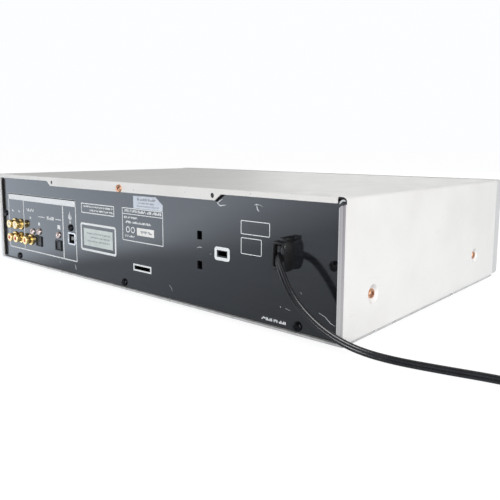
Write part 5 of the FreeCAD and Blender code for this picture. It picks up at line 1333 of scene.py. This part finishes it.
# %% Grips and pointers
RIDGE_BACK = -137.6
KNOB_FACE = -146.5
GRIPS = [("record_level_knob", RECORD_KNOB, 14.0, -145.3, 84),
         ("phones_level_knob", PHONES_KNOB, 7.0, -145.6, 44), ("jog_dial", JOG_DIAL, 15.0, -142.4, 96)]
for name, (x, z), reach, front, count in GRIPS:
    grip_mesh = bmesh.new()
    half_step = math.pi / count * 0.8
    for index in range(count):
        angle = 2 * math.pi * index / count
        tips = [(x + r * math.cos(angle + turn), z + r * math.sin(angle + turn))
                for r, turn in ((reach - 0.15, -half_step), (reach + 0.32, -half_step * 0.35),
                                (reach + 0.32, half_step * 0.35), (reach - 0.15, half_step))]
        flat_shape(grip_mesh, tips, front, RIDGE_BACK - front)
    show(name + "_grip", grip_mesh, knob_finishes[name], body=name)
for name, (x, z), start, end in (("record_level_knob", RECORD_KNOB, 7.5, 12.4),
                                 ("phones_level_knob", PHONES_KNOB, 2.8, 5.8)):
    pointer_mesh = bmesh.new()
    flat_shape(pointer_mesh, upright(x, z + (start + end) / 2, 0.9, end - start), KNOB_FACE, -INK)
    show(name + "_pointer", pointer_mesh, front_ink, body=name)
RING_SEAT = -136.7
RING_PROFILE = [(3.4, 0.0), (6.4, 0.0), (6.4, 0.5), (5.9, 0.9), (4.3, 0.9), (3.4, 0.4)]
ring_mesh = bmesh.new()
turned_ring(ring_mesh, (PHONES_SOCKET[0], RING_SEAT, PHONES_SOCKET[1]), (0, -1, 0), RING_PROFILE)
show("phones_socket_ring", ring_mesh, bright_zinc, smooth=30.0)

# %% [markdown]
# The display is off, so its phosphor shows as pale grey-green shapes on dark glass, with a faint
# painted glow: two groups of seven-part digits, a row of ten letters made of dots, and two level bars
# with growing steps.

# %% Display segments
GLASS_FACE = -133.6
ROW_LOW = 44.0
LETTERS = 10
LETTER_PITCH = 8.6
DOT = 1.05
DOT_PITCH = 1.35
LEVEL_STEPS = 34
LEVEL_PITCH = 4.4
phosphor = Finish("phosphor", shade(150, 172, 162), 0.5)
phosphor.vary("Base Color", 3, 4.0, (0.3, shade(104, 121, 114)), (0.7, shade(136, 154, 146)))
# A faint emission on the segments of the off display: a painted glow, not a lamp.
phosphor.vary("Emission Color", 5, 2.0, (0.3, shade(60, 120, 110)), (0.7, shade(90, 150, 138)))
phosphor.set("Emission Strength", 0.8)
phosphor.pebble(0.4, 0.05, 0.0001)
segments = bmesh.new()


def seven_parts(bm, x, z, wide, tall):
    """One digit of seven short bars, lower left corner at (x, z)."""
    line = 0.9
    half = tall / 2
    for level in (0.0, half - line / 2, tall - line):
        bar(bm, x + line * 0.8, x + wide - line * 0.8, z + level, z + level + line, GLASS_FACE, -INK)
    for left in (0.0, wide - line):
        for low in (line * 0.7, half + line * 0.3):
            bar(bm, x + left, x + left + line, z + low, z + low + half - line, GLASS_FACE, -INK)


for x in (-95.0, -88.0, -72.0, -65.0, -54.0, -47.0):
    seven_parts(segments, x, ROW_LOW, 5.4, 9.4)
for x, z in ((-57.0, 46.6), (-57.0, 50.2)):
    bar(segments, x, x + 1.0, z, z + 1.0, GLASS_FACE, -INK)
for letter in range(LETTERS):
    for column in range(5):
        for line in range(7):
            x = -32.0 + letter * LETTER_PITCH + column * DOT_PITCH
            z = ROW_LOW + line * DOT_PITCH
            bar(segments, x, x + DOT, z, z + DOT, GLASS_FACE, -INK)
for z in (38.8, 35.0):
    for step in range(LEVEL_STEPS):
        x = -95.0 + step * LEVEL_PITCH
        bar(segments, x, x + (3.6 if step < 26 else 4.0), z, z + 2.2, GLASS_FACE, -INK)
show("display_segments", segments, phosphor)

# %% [markdown]
# The square data socket is a bent tin shell round a tongue with contacts. Both are one solid, so the
# finish tells the tongue from the shell by the distance from the socket's middle. Only the rim in front
# of the panel is bright; the shell behind it is painted near-black, as painted shade inside the socket.
# A thin collar on the panel stands round it.

# %% Data socket
USB_X = 78.4
USB_Z = 39.2
port = Finish("usb_shell", shade(214, 215, 218), 0.26)


def off_centre(letter, middle, half):
    """How far a point is from the middle along one axis, as a share of half the tongue's size there."""
    return port.math("ABSOLUTE", port.math("DIVIDE", port.axis(letter, middle * MM), half * MM))


off_middle = port.math("MAXIMUM", off_centre("X", USB_X, 3.0), off_centre("Z", USB_Z, 1.8))
is_tongue = port.math("LESS_THAN", off_middle, 1.0)
scuffed = port.ramp(port.noise(2.2, 5.0, stretch=(1.0, 6.0, 1.0)), (0.3, shade(176, 177, 180)),
                    (0.7, shade(224, 225, 228)))
rim = beyond(port, "Y", PANEL_FACE - 0.5, 0.2)
# Inside the rim the shell is painted near-black: painted shade in the socket's hollow.
inside = port.mix(is_tongue, shade(18, 18, 20), shade(112, 113, 112))
port.feed("Base Color", port.mix(rim, inside, scuffed))
port.feed("Metallic", port.math("MULTIPLY", rim, 0.6))
port.vary("Roughness", 1.2, 3.0, (0.3, 0.2), (0.7, 0.4))
port.pebble(0.5, 0.06, 0.0001)
dress(port, "usb_port")
collar_mesh = bmesh.new()
framed(collar_mesh, USB_X - 6.1, USB_X + 6.1, USB_Z - 5.7, USB_Z + 5.7, 1.3, 1.6, PANEL_FACE, 0.9)
show("usb_collar", collar_mesh, port)
